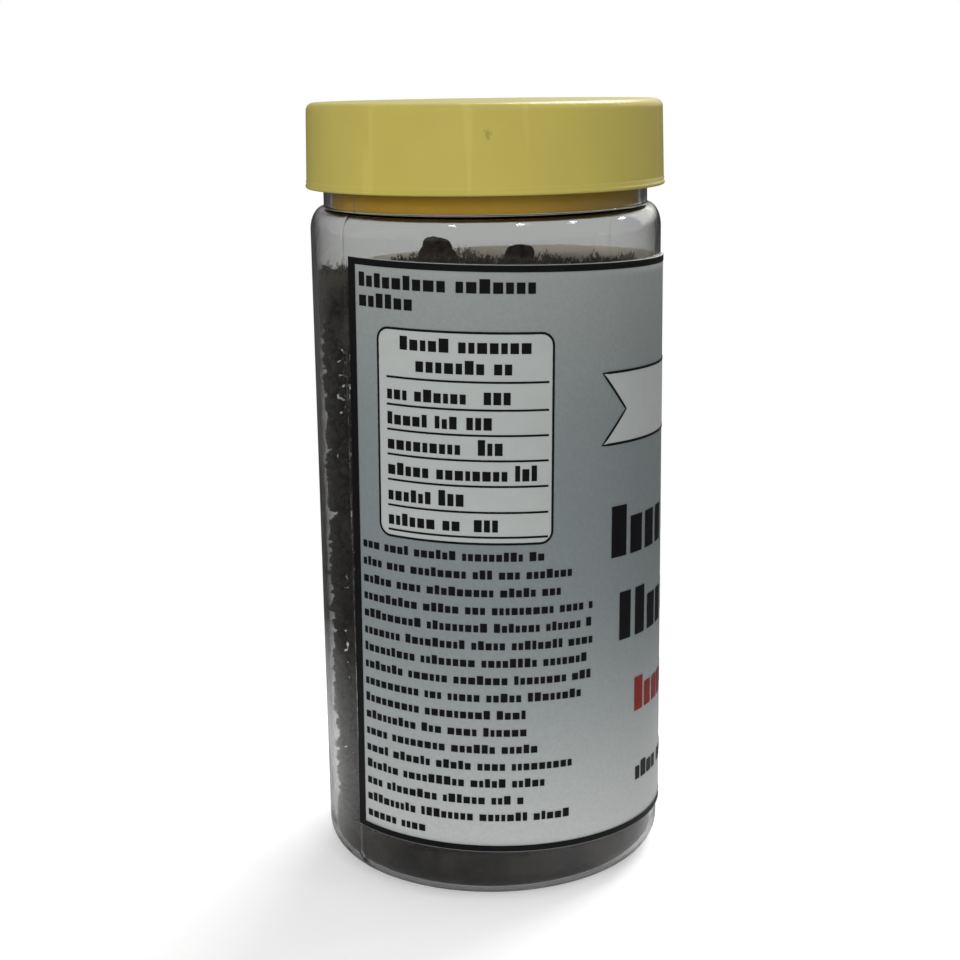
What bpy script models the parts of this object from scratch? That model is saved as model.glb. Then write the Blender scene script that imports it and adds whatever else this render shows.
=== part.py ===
"""A clear screw-top jar of dried long pepper: jar, wrap label, pepper spikes, plug seal and screw lid.

Metres, +Z up. The origin is the middle of the base, and the photographed front faces -Y.
An azimuth on the jar is counted in degrees from the front, -Y, towards +X.
"""

import math

import bmesh
import bpy
import numpy as np

MM = 0.001
TURN = 2 * math.pi

# Driving dimensions of the jar, in metres
HEIGHT = 145 * MM
BODY_RADIUS = 32.85 * MM
BODY_WALL = 0.9 * MM
BASE_CORNER = 5.0 * MM
BASE_RING_INNER = 22 * MM
BASE_PUSH_UP = 1.2 * MM
BASE_SLOPE = 3 * MM
BASE_SLOPE_SHARE = 0.8
SHOULDER_LOW = 121.8 * MM
SHOULDER_TOP = 126.1 * MM
NECK_RADIUS = 30.25 * MM
NECK_WALL = 1.2 * MM
NECK_RIM = 142.0 * MM
RIM_ROUND = 0.4 * MM
ROUND_STEPS = 48

# Thread: one helix for the neck, and one half a pitch lower inside the lid
PITCH = 4.5 * MM
NECK_THREAD_START = 133.4 * MM
NECK_THREAD_TURNS = 1.15
NECK_THREAD_ROD = 1.1 * MM
LID_THREAD_TURNS = 1.0
LID_THREAD_ROD = 0.9 * MM
THREAD_POINTS = 40
THREAD_SINK = 0.1 * MM
THREAD_END_SHARE = 0.45
THREAD_END_GROWTH = 5

# Lid and its plug seal
LID_BOTTOM = 129.5 * MM
LID_TOP_RADIUS = 33.0 * MM
LID_BOTTOM_RADIUS = 33.5 * MM
LID_EDGE = 1.5 * MM
LID_WALL = 1.3 * MM
LID_BEAD = 0.8 * MM
LID_BEAD_PROUD = 0.15 * MM
LID_BEAD_ROUND = 0.25 * MM
LID_INNER_CHAMFER = 0.6 * MM
SKIRT_INNER = 31.9 * MM
SEAL_GAP = 0.3 * MM
SEAL_PLATE = 1.1 * MM
SEAL_FLANGE_RADIUS = 30.9 * MM
SEAL_RING_RADIUS = 28.7 * MM
SEAL_RING_WALL = 1.1 * MM
SEAL_RING_LOW = 126.0 * MM
SEAL_LEAD_IN = (0.3 * MM, 0.6 * MM)

# Wrap label: a sheet laid round the wall a little askew, with a clear gap at the left
LABEL_RADIUS = 33.1 * MM
LABEL_THICKNESS = 0.2 * MM
LABEL_LOW = 10.1 * MM
LABEL_HIGH = 118.0 * MM
LABEL_LEFT = -48.3
LABEL_SWEEP = 280.8
LABEL_TILT = 1.7
LABEL_LEAN = 0.8

# Pepper spikes: how many, their sizes, and the rule that lays them in the jar
SPIKES = 48
SPIKE_SEED = 3
SPIKE_LENGTH = (45 * MM, 54 * MM)
SPIKE_RADIUS = (4.25 * MM, 4.6 * MM)
SPIKE_BEND = (6.0, 30.0)
SPIKE_LEAN = (35.0, 88.0)
SPIKE_SIDES = 8
SPIKE_ROWS = 12
BERRY_RELIEF = 0.05
HEAP_GAP = 0.5 * MM
# The heap's top falls from the front to the back
HEAP_TOP = 118.5 * MM
HEAP_FRONT = 31.7 * MM
HEAP_SLOPE = 0.19
HEAP_START = (26 * MM, 91 * MM)
HEAP_START_RADIUS = 24 * MM
GOLDEN_ANGLE = math.pi * (3 - math.sqrt(5))
SETTLE_STEPS = 350
SINK_STEP = 0.03 * MM
SPREAD_ROUNDS = ((11, 900), (19, 260))
TOUCH_LIMIT = 0.1 * MM
WALL_CLEARANCE = 0.35 * MM
DISH_SLOPE = 4 * MM
PUSH_GAIN = 1.5
SPHERE_SPAN = (0.04, 0.96)
# The mean sideways offset of an arc is close to its offset at the whole bend over this number
MEAN_OFFSET_DIVISOR = 3.46
# Two spikes stand out of the heap at the front: middle, then direction
PROUD_SPIKES = (
    ((-10.0 * MM, -19.0 * MM, 99.4 * MM), (0.05, 0.25, 1.0)),
    ((7.8 * MM, -18.5 * MM, 94.3 * MM), (-0.12, 0.20, 1.0)),
)


def clear_scene():
    for item in list(bpy.data.objects):
        bpy.data.objects.remove(item, do_unlink=True)


def new_collection(name):
    collection = bpy.data.collections.new(name)
    bpy.context.scene.collection.children.link(collection)
    return collection


def plain_material(name, colour, roughness, transmission=0.0):
    material = bpy.data.materials.new(name)
    material.use_nodes = True
    shader = material.node_tree.nodes["Principled BSDF"]
    shader.inputs["Base Color"].default_value = (*colour, 1.0)
    shader.inputs["Roughness"].default_value = roughness
    shader.inputs["Metallic"].default_value = 0.0
    shader.inputs["Transmission Weight"].default_value = transmission
    return material


def new_object(name, mesh, collection, material=None):
    item = bpy.data.objects.new(name, mesh)
    collection.objects.link(item)
    if material:
        mesh.materials.append(material)
    return item


def arc(centre, radius, start, end, steps):
    """Points (radius from the axis, height) on an arc, from start to end in degrees."""
    angles = np.radians(np.linspace(start, end, steps + 1))
    return [(centre[0] + radius * math.cos(a), centre[1] + radius * math.sin(a)) for a in angles]


def turned(name, outline, collection, material):
    """Screws an outline, given as (radius, height) down the outer side, round the Z axis.

    The last point joins the first, and an edge that lies on the axis is left out.
    """
    after = outline[1:] + outline[:1]
    edges = [
        (i, (i + 1) % len(outline))
        for i, ends in enumerate(zip(outline, after))
        if ends[0][0] > 0 or ends[1][0] > 0
    ]
    mesh = bpy.data.meshes.new(name)
    mesh.from_pydata([(r, 0.0, z) for r, z in outline], edges, [])
    item = new_object(name, mesh, collection, material)
    screw = item.modifiers.new("Turn", "SCREW")
    screw.axis = "Z"
    screw.angle = TURN
    screw.steps = ROUND_STEPS
    screw.render_steps = ROUND_STEPS
    screw.use_merge_vertices = True
    screw.merge_threshold = 0.00001
    screw.use_smooth_shade = True
    return item


def thread_rod(name, radius, rod, start, turns, collection):
    """A round rod bent to a helix with thinned ends, as a closed mesh that a Boolean can join."""
    curve = bpy.data.curves.new(name, "CURVE")
    curve.dimensions = "3D"
    curve.bevel_depth = rod
    curve.bevel_resolution = 2
    curve.use_fill_caps = True
    spline = curve.splines.new("POLY")
    spline.points.add(THREAD_POINTS - 1)
    for i, point in enumerate(spline.points):
        share = i / (THREAD_POINTS - 1)
        angle = TURN * turns * share
        height = start + PITCH * turns * share
        point.co = (radius * math.cos(angle), radius * math.sin(angle), height, 1.0)
        end_share = min(share, 1 - share)
        point.radius = min(1.0, THREAD_END_SHARE + THREAD_END_GROWTH * end_share)
    guide = bpy.data.objects.new(name + "_path", curve)
    collection.objects.link(guide)
    bpy.context.view_layer.update()
    graph = bpy.context.evaluated_depsgraph_get()
    mesh = bpy.data.meshes.new_from_object(guide.evaluated_get(graph))
    bpy.data.objects.remove(guide, do_unlink=True)
    body = bmesh.new()
    body.from_mesh(mesh)
    bmesh.ops.remove_doubles(body, verts=body.verts, dist=0.00001)
    bmesh.ops.recalc_face_normals(body, faces=body.faces)
    body.to_mesh(mesh)
    body.free()
    rod_object = new_object(name, mesh, collection)
    rod_object.hide_render = True
    rod_object.display_type = "WIRE"
    return rod_object


def join(item, other):
    union = item.modifiers.new("Thread", "BOOLEAN")
    union.operation = "UNION"
    union.solver = "EXACT"
    union.object = other


def make_jar(parts, helpers):
    """The bottle: a thin wall with a rounded base, a soft shoulder and a threaded neck."""
    inner_radius = BODY_RADIUS - BODY_WALL
    neck_inner = NECK_RADIUS - NECK_WALL
    corner_centre = (BODY_RADIUS - BASE_CORNER, BASE_CORNER)
    shoulder = BODY_RADIUS - NECK_RADIUS
    shoulder_height = SHOULDER_TOP - SHOULDER_LOW
    slope_radius = BASE_RING_INNER - BASE_SLOPE
    slope_height = BASE_PUSH_UP * BASE_SLOPE_SHARE

    def shoulder_points(low_radius, reach, low, height):
        """A quarter of an ellipse from the ledge at the neck down to the wall."""
        return [
            (low_radius - reach * (1 - math.cos(a)), low + height * math.sin(a))
            for a in np.radians(np.linspace(90, 0, 6))
        ]

    outer = [(NECK_RADIUS - RIM_ROUND, NECK_RIM), (NECK_RADIUS, NECK_RIM - RIM_ROUND)]
    outer += shoulder_points(BODY_RADIUS, shoulder, SHOULDER_LOW, shoulder_height)
    outer += arc(corner_centre, BASE_CORNER, 0, -90, 5)
    outer += [
        (BASE_RING_INNER, 0.0),
        (slope_radius, slope_height),
        (0.0, BASE_PUSH_UP),
    ]
    inner = [
        (0.0, BASE_PUSH_UP + BODY_WALL),
        (slope_radius, slope_height + BODY_WALL),
        (BASE_RING_INNER, BODY_WALL),
    ]
    inner += arc(corner_centre, BASE_CORNER - BODY_WALL, -90, 0, 5)
    inner += shoulder_points(
        inner_radius, inner_radius - neck_inner, SHOULDER_LOW, shoulder_height - BODY_WALL
    )[::-1]
    inner += [(neck_inner, NECK_RIM - RIM_ROUND), (neck_inner + RIM_ROUND, NECK_RIM)]
    plastic = plain_material("clear_plastic", (0.93, 0.95, 0.94), 0.08, transmission=1.0)
    jar = turned("jar", outer + inner, parts, plastic)
    rod = thread_rod(
        "jar_thread",
        NECK_RADIUS + THREAD_SINK,
        NECK_THREAD_ROD,
        NECK_THREAD_START,
        NECK_THREAD_TURNS,
        helpers,
    )
    join(jar, rod)
    return jar


def make_lid(parts, helpers):
    """The screw lid: a plate with a rounded edge and a skirt that widens a little downwards."""
    edge_centre = (LID_TOP_RADIUS - LID_EDGE, HEIGHT - LID_EDGE)
    outline = [(0.0, HEIGHT)]
    outline += arc(edge_centre, LID_EDGE, 90, 0, 4)
    outline += [
        (LID_BOTTOM_RADIUS - LID_BEAD_PROUD, LID_BOTTOM + 2 * LID_BEAD),
        (LID_BOTTOM_RADIUS, LID_BOTTOM + LID_BEAD),
        (LID_BOTTOM_RADIUS - LID_BEAD_ROUND, LID_BOTTOM),
        (SKIRT_INNER, LID_BOTTOM),
        (SKIRT_INNER, HEIGHT - LID_WALL - LID_INNER_CHAMFER),
        (SKIRT_INNER - LID_INNER_CHAMFER, HEIGHT - LID_WALL),
        (0.0, HEIGHT - LID_WALL),
    ]
    plastic = plain_material("yellow_lid_plastic", (0.62, 0.56, 0.20), 0.38)
    lid = turned("lid", outline, parts, plastic)
    rod = thread_rod(
        "lid_thread",
        SKIRT_INNER - THREAD_SINK,
        LID_THREAD_ROD,
        NECK_THREAD_START - PITCH / 2,
        LID_THREAD_TURNS,
        helpers,
    )
    join(lid, rod)
    return lid


def make_seal(parts):
    """The plug seal under the lid: a disc with a flange over the rim and a ring in the mouth."""
    top = HEIGHT - LID_WALL - SEAL_GAP
    under = top - SEAL_PLATE
    ring_inner = SEAL_RING_RADIUS - SEAL_RING_WALL
    outline = [
        (0.0, top),
        (SEAL_FLANGE_RADIUS, top),
        (SEAL_FLANGE_RADIUS, under),
        (SEAL_RING_RADIUS, under),
        (SEAL_RING_RADIUS, SEAL_RING_LOW + SEAL_LEAD_IN[1]),
        (SEAL_RING_RADIUS - SEAL_LEAD_IN[0], SEAL_RING_LOW),
        (ring_inner, SEAL_RING_LOW),
        (ring_inner, under),
        (0.0, under),
    ]
    plastic = plain_material("yellow_seal_plastic", (0.55, 0.44, 0.05), 0.4)
    return turned("lid_seal", outline, parts, plastic)


def make_label(parts):
    """The label: a slanted edge swept round the axis, so the sheet lies askew as one helix."""
    slope = math.tan(math.radians(LABEL_TILT))
    lean = math.tan(math.radians(LABEL_LEAN))
    half_height = (LABEL_HIGH - LABEL_LOW) / 2
    middle = (LABEL_HIGH + LABEL_LOW) / 2
    # The sheet turns about its own point at the front, azimuth 0
    lift = -math.radians(LABEL_LEFT) * LABEL_RADIUS * slope
    edge = []
    for side in (1, -1):
        azimuth = math.radians(LABEL_LEFT) + side * half_height * lean / LABEL_RADIUS
        height = middle + lift + side * half_height
        edge.append((LABEL_RADIUS * math.sin(azimuth), -LABEL_RADIUS * math.cos(azimuth), height))
    mesh = bpy.data.meshes.new("label")
    mesh.from_pydata(edge, [(0, 1)], [])
    paper = plain_material("printed_label", (0.50, 0.53, 0.56), 0.45)
    label = new_object("label", mesh, parts, paper)
    steps = round(ROUND_STEPS * LABEL_SWEEP / 360)
    screw = label.modifiers.new("Wrap", "SCREW")
    screw.axis = "Z"
    screw.angle = math.radians(LABEL_SWEEP)
    screw.screw_offset = -math.radians(LABEL_SWEEP) * LABEL_RADIUS * slope
    screw.steps = steps
    screw.render_steps = steps
    screw.use_smooth_shade = True
    sheet = label.modifiers.new("Sheet", "SOLIDIFY")
    sheet.thickness = LABEL_THICKNESS
    sheet.offset = 1.0
    return label


def spike_radius(along, radius):
    """Radius of a spike at a share of its length, 0 at the stalk end: quick rise, long taper."""
    rise = 0.60 + 0.40 * np.sin(np.pi / 2 * np.clip(along / 0.14, 0, 1))
    taper = 1 - 0.34 * np.clip((along - 0.40) / 0.60, 0, 1) ** 1.8
    return radius * rise * taper


def turn_vectors(vectors, turns):
    """Turns each vector by its own rotation vector."""
    angle = np.linalg.norm(turns, axis=1, keepdims=True) + 1e-12
    axis = turns / angle
    across = np.cross(axis, vectors)
    lengthwise = axis * (axis * vectors).sum(1, keepdims=True)
    return vectors * np.cos(angle) + across * np.sin(angle) + lengthwise * (1 - np.cos(angle))


def unit(vectors):
    return vectors / np.linalg.norm(vectors, axis=1, keepdims=True)


def lay_spikes():
    """Places the spikes: a seeded start in a helix of places, then small moves until none touch.

    Each spike is an arc of spheres. Spheres that come too close push their spikes apart and turn
    them, the wall, floor and top of the heap push back, and during the first steps all sink.
    Returns sizes and, for each spike, its middle, its direction and the side it bends to.
    """
    draw = np.random.default_rng(SPIKE_SEED)
    length = draw.uniform(*SPIKE_LENGTH, SPIKES)
    bend = np.radians(draw.uniform(*SPIKE_BEND, SPIKES))
    radius = draw.uniform(*SPIKE_RADIUS, SPIKES)
    order = np.arange(SPIKES)
    angle = order * GOLDEN_ANGLE
    away = HEAP_START_RADIUS * np.sqrt(order * 0.618 % 1)
    height = np.linspace(*HEAP_START, SPIKES)
    middle = np.stack([away * np.cos(angle), away * np.sin(angle), height], 1)
    lean = np.radians(draw.uniform(*SPIKE_LEAN, SPIKES))
    heading = draw.uniform(0, TURN, SPIKES)
    upward = draw.choice([-1, 1], SPIKES)
    flat = np.cos(lean)
    course = np.stack([flat * np.cos(heading), flat * np.sin(heading), np.sin(lean) * upward], 1)
    side = draw.normal(size=(SPIKES, 3))
    free = np.ones(SPIKES)
    for i, (place, direction) in enumerate(PROUD_SPIKES):
        middle[-1 - i] = place
        course[-1 - i] = direction
        free[-1 - i] = 0
    course = unit(course)
    side = unit(np.cross(course, side))
    loose = free[:, None]
    for samples, rounds in SPREAD_ROUNDS:
        along = np.linspace(*SPHERE_SPAN, samples)
        spheres = spike_radius(along[None, :], radius[:, None])
        flat_spheres = spheres.reshape(-1)
        owner = np.repeat(order, samples)
        reach = flat_spheres[:, None] + flat_spheres[None, :] + HEAP_GAP
        reach[owner[:, None] == owner[None, :]] = 0
        forward, sideways = arc_offsets(along, length, bend)
        for step in range(rounds):
            arms = forward[..., None] * course[:, None, :] + sideways[..., None] * side[:, None, :]
            points = (middle[:, None, :] + arms).reshape(-1, 3)
            push, worst = push_apart(points, reach)
            limit, worst_limit = push_inside(points, flat_spheres, np.repeat(free, samples))
            push = (push + limit).reshape(SPIKES, samples, 3)
            touching = np.maximum((np.abs(push).sum(2) > 1e-9).sum(1), 1)[:, None]
            shift = push.sum(1) / touching
            inertia = (arms**2).sum(2).mean(1)[:, None] * touching
            turns = np.cross(arms, push).sum(1) / inertia
            middle += PUSH_GAIN * shift * loose
            course = unit(turn_vectors(course, PUSH_GAIN * turns * loose))
            side = turn_vectors(side, PUSH_GAIN * turns * loose)
            side = unit(side - course * (side * course).sum(1, keepdims=True))
            sinking = samples == SPREAD_ROUNDS[0][0] and step < SETTLE_STEPS
            if sinking:
                middle[:, 2] -= SINK_STEP * free
            # Rounding keeps the result the same on any machine
            middle = np.round(middle, 10)
            course = np.round(course, 9)
            side = np.round(side, 9)
            if not sinking and max(worst, worst_limit) < TOUCH_LIMIT:
                break
    return length, bend, radius, middle, course, side


def arc_offsets(along, length, bend):
    """How far points at shares of the length lie forward and to the side of a spike's middle."""
    share = along[None, :] - 0.5
    curve = (length / bend)[:, None]
    turned_by = bend[:, None] * share
    sideways = curve * (1 - np.cos(turned_by))
    centre = curve * (1 - np.cos(bend[:, None] / MEAN_OFFSET_DIVISOR))
    return curve * np.sin(turned_by), sideways - centre


def push_apart(points, reach):
    """Pushes on sphere centres that are closer than their reach, and the deepest overlap."""
    squares = (points**2).sum(1)
    apart = squares[:, None] + squares[None, :] - 2 * points @ points.T
    first, second = np.nonzero(apart < reach**2)
    between = points[first] - points[second]
    distance = np.linalg.norm(between, axis=1) + 1e-12
    overlap = reach[first, second] - distance
    force = between / distance[:, None] * overlap[:, None] * 0.5
    push = [np.bincount(first, force[:, axis], len(points)) for axis in range(3)]
    return np.stack(push, 1), overlap.max(initial=0.0)


def push_inside(points, radii, free):
    """Pushes that keep spheres inside the wall, above the base and under the top of the heap."""
    push = np.zeros_like(points)
    away = np.hypot(points[:, 0], points[:, 1])
    room = BODY_RADIUS - BODY_WALL - WALL_CLEARANCE
    beyond = np.clip(away + radii - room, 0, None)
    push[:, :2] -= points[:, :2] / (away[:, None] + 1e-9) * beyond[:, None]
    inner_corner = BASE_CORNER - BODY_WALL
    edge = np.clip(away - (BODY_RADIUS - BASE_CORNER), 0, inner_corner)
    corner_rise = inner_corner - np.sqrt(inner_corner**2 - edge**2)
    dish = BASE_PUSH_UP * np.clip((BASE_RING_INNER - away) / DISH_SLOPE, 0, 1)
    floor = BODY_WALL + WALL_CLEARANCE + dish + corner_rise
    below = np.clip(floor + radii - points[:, 2], 0, None)
    level = HEAP_TOP - HEAP_SLOPE * (points[:, 1] + HEAP_FRONT)
    above = np.clip(points[:, 2] + radii - level, 0, None) * free
    push[:, 2] += below - above
    return push, max(beyond.max(), below.max())


def make_spike(name, length, bend, radius, middle, course, side, parts, material):
    """One pepper spike: a sphere's rows stretched along an arc, with raised and sunk berries."""
    mesh = bpy.data.meshes.new(name)
    body = bmesh.new()
    bmesh.ops.create_uvsphere(
        body, u_segments=SPIKE_SIDES, v_segments=SPIKE_ROWS, radius=1.0
    )
    ball = np.array([vertex.co[:] for vertex in body.verts])
    row = np.round(np.arccos(np.clip(-ball[:, 2], -1, 1)) / np.pi * SPIKE_ROWS)
    around = np.arctan2(ball[:, 1], ball[:, 0])
    column = np.round(around / TURN * SPIKE_SIDES)
    at_pole = (row == 0) | (row == SPIKE_ROWS)
    along = np.clip((row - 0.6) / (SPIKE_ROWS - 1.2), 0, 1)
    berries = 1 + BERRY_RELIEF * np.where((row + column) % 2 == 0, 1, -1)
    width = np.where(at_pole, 0, spike_radius(along, radius) * berries)
    forward, sideways = arc_offsets(along, np.array([length]), np.array([bend]))
    lean = bend * (along - 0.5)
    normal = side * np.cos(lean)[:, None] - course * np.sin(lean)[:, None]
    across = np.cross(course, side)
    places = middle + forward[0][:, None] * course + sideways[0][:, None] * side
    places = places + (width * np.cos(around))[:, None] * normal
    places = places + (width * np.sin(around))[:, None] * across
    for vertex, place in zip(body.verts, places):
        vertex.co = place
    body.to_mesh(mesh)
    body.free()
    mesh.shade_smooth()
    return new_object(name, mesh, parts, material)


def make_spikes(parts):
    husk = plain_material("dried_pepper", (0.035, 0.026, 0.020), 0.85)
    for i, values in enumerate(zip(*lay_spikes())):
        make_spike(f"pepper_{i + 1:02d}", *values, parts, husk)


def main():
    clear_scene()
    parts = new_collection("long_pepper_jar")
    helpers = new_collection("cutters")
    make_jar(parts, helpers)
    make_label(parts)
    make_spikes(parts)
    make_seal(parts)
    make_lid(parts, helpers)


main()
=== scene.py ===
"""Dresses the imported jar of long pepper: clear bottle, label, spikes, seal, lid and stage.

Lengths are in metres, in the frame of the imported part. An azimuth is counted from the front, -Y,
towards +X. The label has its own coordinates: s along the sheet from its left edge, and t up from
its middle line.
"""

import math

import bpy
import numpy as np
from mathutils import Matrix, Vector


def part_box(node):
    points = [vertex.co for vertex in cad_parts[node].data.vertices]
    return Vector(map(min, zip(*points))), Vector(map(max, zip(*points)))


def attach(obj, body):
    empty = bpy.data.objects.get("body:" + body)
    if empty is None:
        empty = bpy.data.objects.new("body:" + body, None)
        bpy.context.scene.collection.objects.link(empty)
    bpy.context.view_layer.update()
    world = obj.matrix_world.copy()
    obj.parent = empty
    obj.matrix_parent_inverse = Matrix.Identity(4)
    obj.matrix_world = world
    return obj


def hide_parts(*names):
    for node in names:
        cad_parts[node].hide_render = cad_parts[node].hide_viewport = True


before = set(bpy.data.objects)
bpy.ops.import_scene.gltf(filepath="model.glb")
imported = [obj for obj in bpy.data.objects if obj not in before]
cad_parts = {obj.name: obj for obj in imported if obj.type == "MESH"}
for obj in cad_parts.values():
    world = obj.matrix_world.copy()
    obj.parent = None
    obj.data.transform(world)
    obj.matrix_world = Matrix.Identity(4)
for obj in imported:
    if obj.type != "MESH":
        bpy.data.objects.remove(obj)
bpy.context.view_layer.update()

bl_info = {
    "name": "Long Pepper Jar",
    "version": (1, 0, 0),
    "blender": (4, 5, 0),
    "location": "View3D > Sidebar > Pepper Jar",
    "description": "Builds the surfaces, materials and stage of a jar of dried long pepper",
    "category": "Object",
}

MM = 0.001
TURN = 2 * math.pi
WHITE = (1.0, 1.0, 1.0)
SPIKE_NODES = sorted(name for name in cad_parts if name.startswith("pepper_"))


def length_property(name, description, default):
    """A length in metres, shown with the scene's unit."""
    return bpy.props.FloatProperty(
        name=name, description=description, default=default, unit="LENGTH", precision=5
    )


def angle_property(name, description, degrees):
    """An angle, kept in radians and shown in degrees."""
    return bpy.props.FloatProperty(
        name=name, description=description, default=math.radians(degrees), unit="ROTATION"
    )


def colour_property(name, description, default):
    """A linear colour with three channels."""
    return bpy.props.FloatVectorProperty(
        name=name, description=description, default=default, size=3, subtype="COLOR", min=0, max=4
    )


def number_property(name, description, default, **more):
    """A plain number, or one with a unit of its own."""
    return bpy.props.FloatProperty(name=name, description=description, default=default, **more)


def count_property(name, description, default):
    """A whole number."""
    return bpy.props.IntProperty(name=name, description=description, default=default)


class BottleSettings(bpy.types.PropertyGroup):
    """Sizes and colour of the clear bottle."""

    radius: length_property("Radius", "Outer radius of the wall", 32.85 * MM)
    wall: length_property("Wall", "Thickness of the wall", 0.9 * MM)
    corner: length_property("Corner", "Radius of the rounded foot", 5.0 * MM)
    push_up: length_property("Push-up", "Rise of the middle of the base", 1.2 * MM)
    push_up_radius: length_property("Push-up radius", "Where the base starts to rise", 22 * MM)
    shoulder_low: length_property("Shoulder low", "Where the wall starts to round in", 121.8 * MM)
    shoulder_top: length_property("Shoulder top", "Height of the ledge at the neck", 126.1 * MM)
    neck_radius: length_property("Neck radius", "Outer radius of the neck", 30.25 * MM)
    neck_wall: length_property("Neck wall", "Thickness of the neck", 1.2 * MM)
    rim: length_property("Rim", "Height of the rim", 142.0 * MM)
    seam_azimuth: angle_property("Seam azimuth", "Where the mould seam runs", -50.5)
    colour: colour_property("Colour", "Tint of the clear plastic", (0.955, 0.965, 0.960))


class ThreadSettings(bpy.types.PropertyGroup):
    """The screw thread shared by the neck and the lid."""

    pitch: length_property("Pitch", "Rise in one turn", 4.5 * MM)
    start: length_property("Start", "Height of the start on the neck", 133.4 * MM)
    depth: length_property("Depth", "How far the ridge stands out", 1.1 * MM)
    half_width: length_property("Half width", "Half the width of the ridge", 1.2 * MM)
    turns: number_property("Turns", "Length of the ridge", 1.15)


class LabelSettings(bpy.types.PropertyGroup):
    """Place, sizes and colours of the wrap label."""

    radius: length_property("Radius", "Radius of the inner face", 33.1 * MM)
    thickness: length_property("Thickness", "Thickness of the sheet", 0.2 * MM)
    low: length_property("Low", "Lower edge at the front", 10.1 * MM)
    high: length_property("High", "Upper edge at the front", 118.0 * MM)
    left: angle_property("Left", "Azimuth of the left edge at mid-height", -47.5)
    sweep: angle_property("Sweep", "How far the sheet reaches round", 280.0)
    tilt: angle_property("Tilt", "How far the sheet's long edges are askew", 1.7)
    lean: angle_property("Lean", "How far its short edges lean", 0.8)
    margin: length_property("Margin", "Sheet beyond the left end of the print", 0.46 * MM)
    mark_rise: length_property("Mark rise", "How far the print stands off", 0.045 * MM)
    ground_low: colour_property("Ground low", "Paper at the lower edge", (0.47, 0.485, 0.48))
    ground_middle: colour_property("Ground middle", "Paper in the middle", (0.180, 0.208, 0.213))
    ground_high: colour_property("Ground high", "Paper at the upper edge", (0.288, 0.307, 0.298))
    panel: colour_property("Panel", "Paper inside the table and ribbon", (0.375, 0.395, 0.385))
    back: colour_property("Back", "Unprinted inner side of the sheet", (0.60, 0.54, 0.47))
    edge: colour_property("Edge", "Cut edge of the sheet", (0.85, 0.85, 0.84))
    ink: colour_property("Ink", "Printed frame, rules and marks", (0.004, 0.004, 0.005))
    red_ink: colour_property("Red ink", "The red mark", (0.20, 0.012, 0.010))


class PepperSettings(bpy.types.PropertyGroup):
    """Shape and colours of the dried spikes."""

    berries_around: count_property("Berries around", "Berries in one ring", 12)
    berry_length: length_property("Berry length", "Distance between berry rows", 1.75 * MM)
    relief: length_property("Relief", "How far a berry stands out", 1.15 * MM)
    seed: count_property("Seed", "Seed of all that varies", 8)
    heap_radius: length_property("Heap radius", "Room inside the wall", 31.7 * MM)
    heap_top: length_property("Heap top", "How high crumbs lie at the front", 117.0 * MM)
    heap_slope: number_property("Heap slope", "How steeply the top falls to the back", 0.19)
    bed_height: length_property("Bed height", "Depth of the fine crumbs", 8.6 * MM)
    crumb_radius: length_property("Crumb radius", "Radius of the largest bits", 2.1 * MM)
    crumb_count: count_property("Crumbs", "Most bits", 5400)
    crumb_tries: count_property("Crumb tries", "Places tried", 44000)
    window: angle_property("Window", "Angle of bare wall at the left, filled best with crumbs", 104)
    husk: colour_property("Husk", "Colour of the berry tops", (0.030, 0.0215, 0.0155))
    # Painted shade: gap is the near black painted between the berries, where shade falls.
    gap: colour_property("Gap", "Colour between the berries", (0.005, 0.004, 0.0035))
    dust: colour_property("Dust", "Pale dust on the spikes", (0.075, 0.063, 0.050))


class LidSettings(bpy.types.PropertyGroup):
    """Sizes and colours of the lid and its plug seal."""

    top: length_property("Top", "Height of the lid's top", 145.0 * MM)
    bottom: length_property("Bottom", "Height of the lid's edge", 129.5 * MM)
    top_radius: length_property("Top radius", "Radius at the top", 33.0 * MM)
    bottom_radius: length_property("Bottom radius", "Radius at the bead", 33.5 * MM)
    edge: length_property("Edge", "Rounding of the top edge", 1.5 * MM)
    wall: length_property("Wall", "Thickness of the top", 1.3 * MM)
    inner_radius: length_property("Inner radius", "Radius inside the skirt", 31.9 * MM)
    bead: length_property("Bead", "Height of the bead at the edge", 0.8 * MM)
    flange_radius: length_property("Flange radius", "Radius of the seal's flange", 30.9 * MM)
    ring_radius: length_property("Ring radius", "Outer radius of the plug ring", 28.7 * MM)
    ring_wall: length_property("Ring wall", "Thickness of the plug ring", 1.1 * MM)
    ring_low: length_property("Ring low", "Lower edge of the plug ring", 126.0 * MM)
    plate: length_property("Plate", "Thickness of the seal's disc", 1.1 * MM)
    gap: length_property("Gap", "Room between lid and seal", 0.3 * MM)
    colour: colour_property("Lid colour", "Lid plastic", (0.495, 0.417, 0.087))
    seal_colour: colour_property("Seal colour", "Seal plastic", (0.50, 0.285, 0.001))


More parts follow.
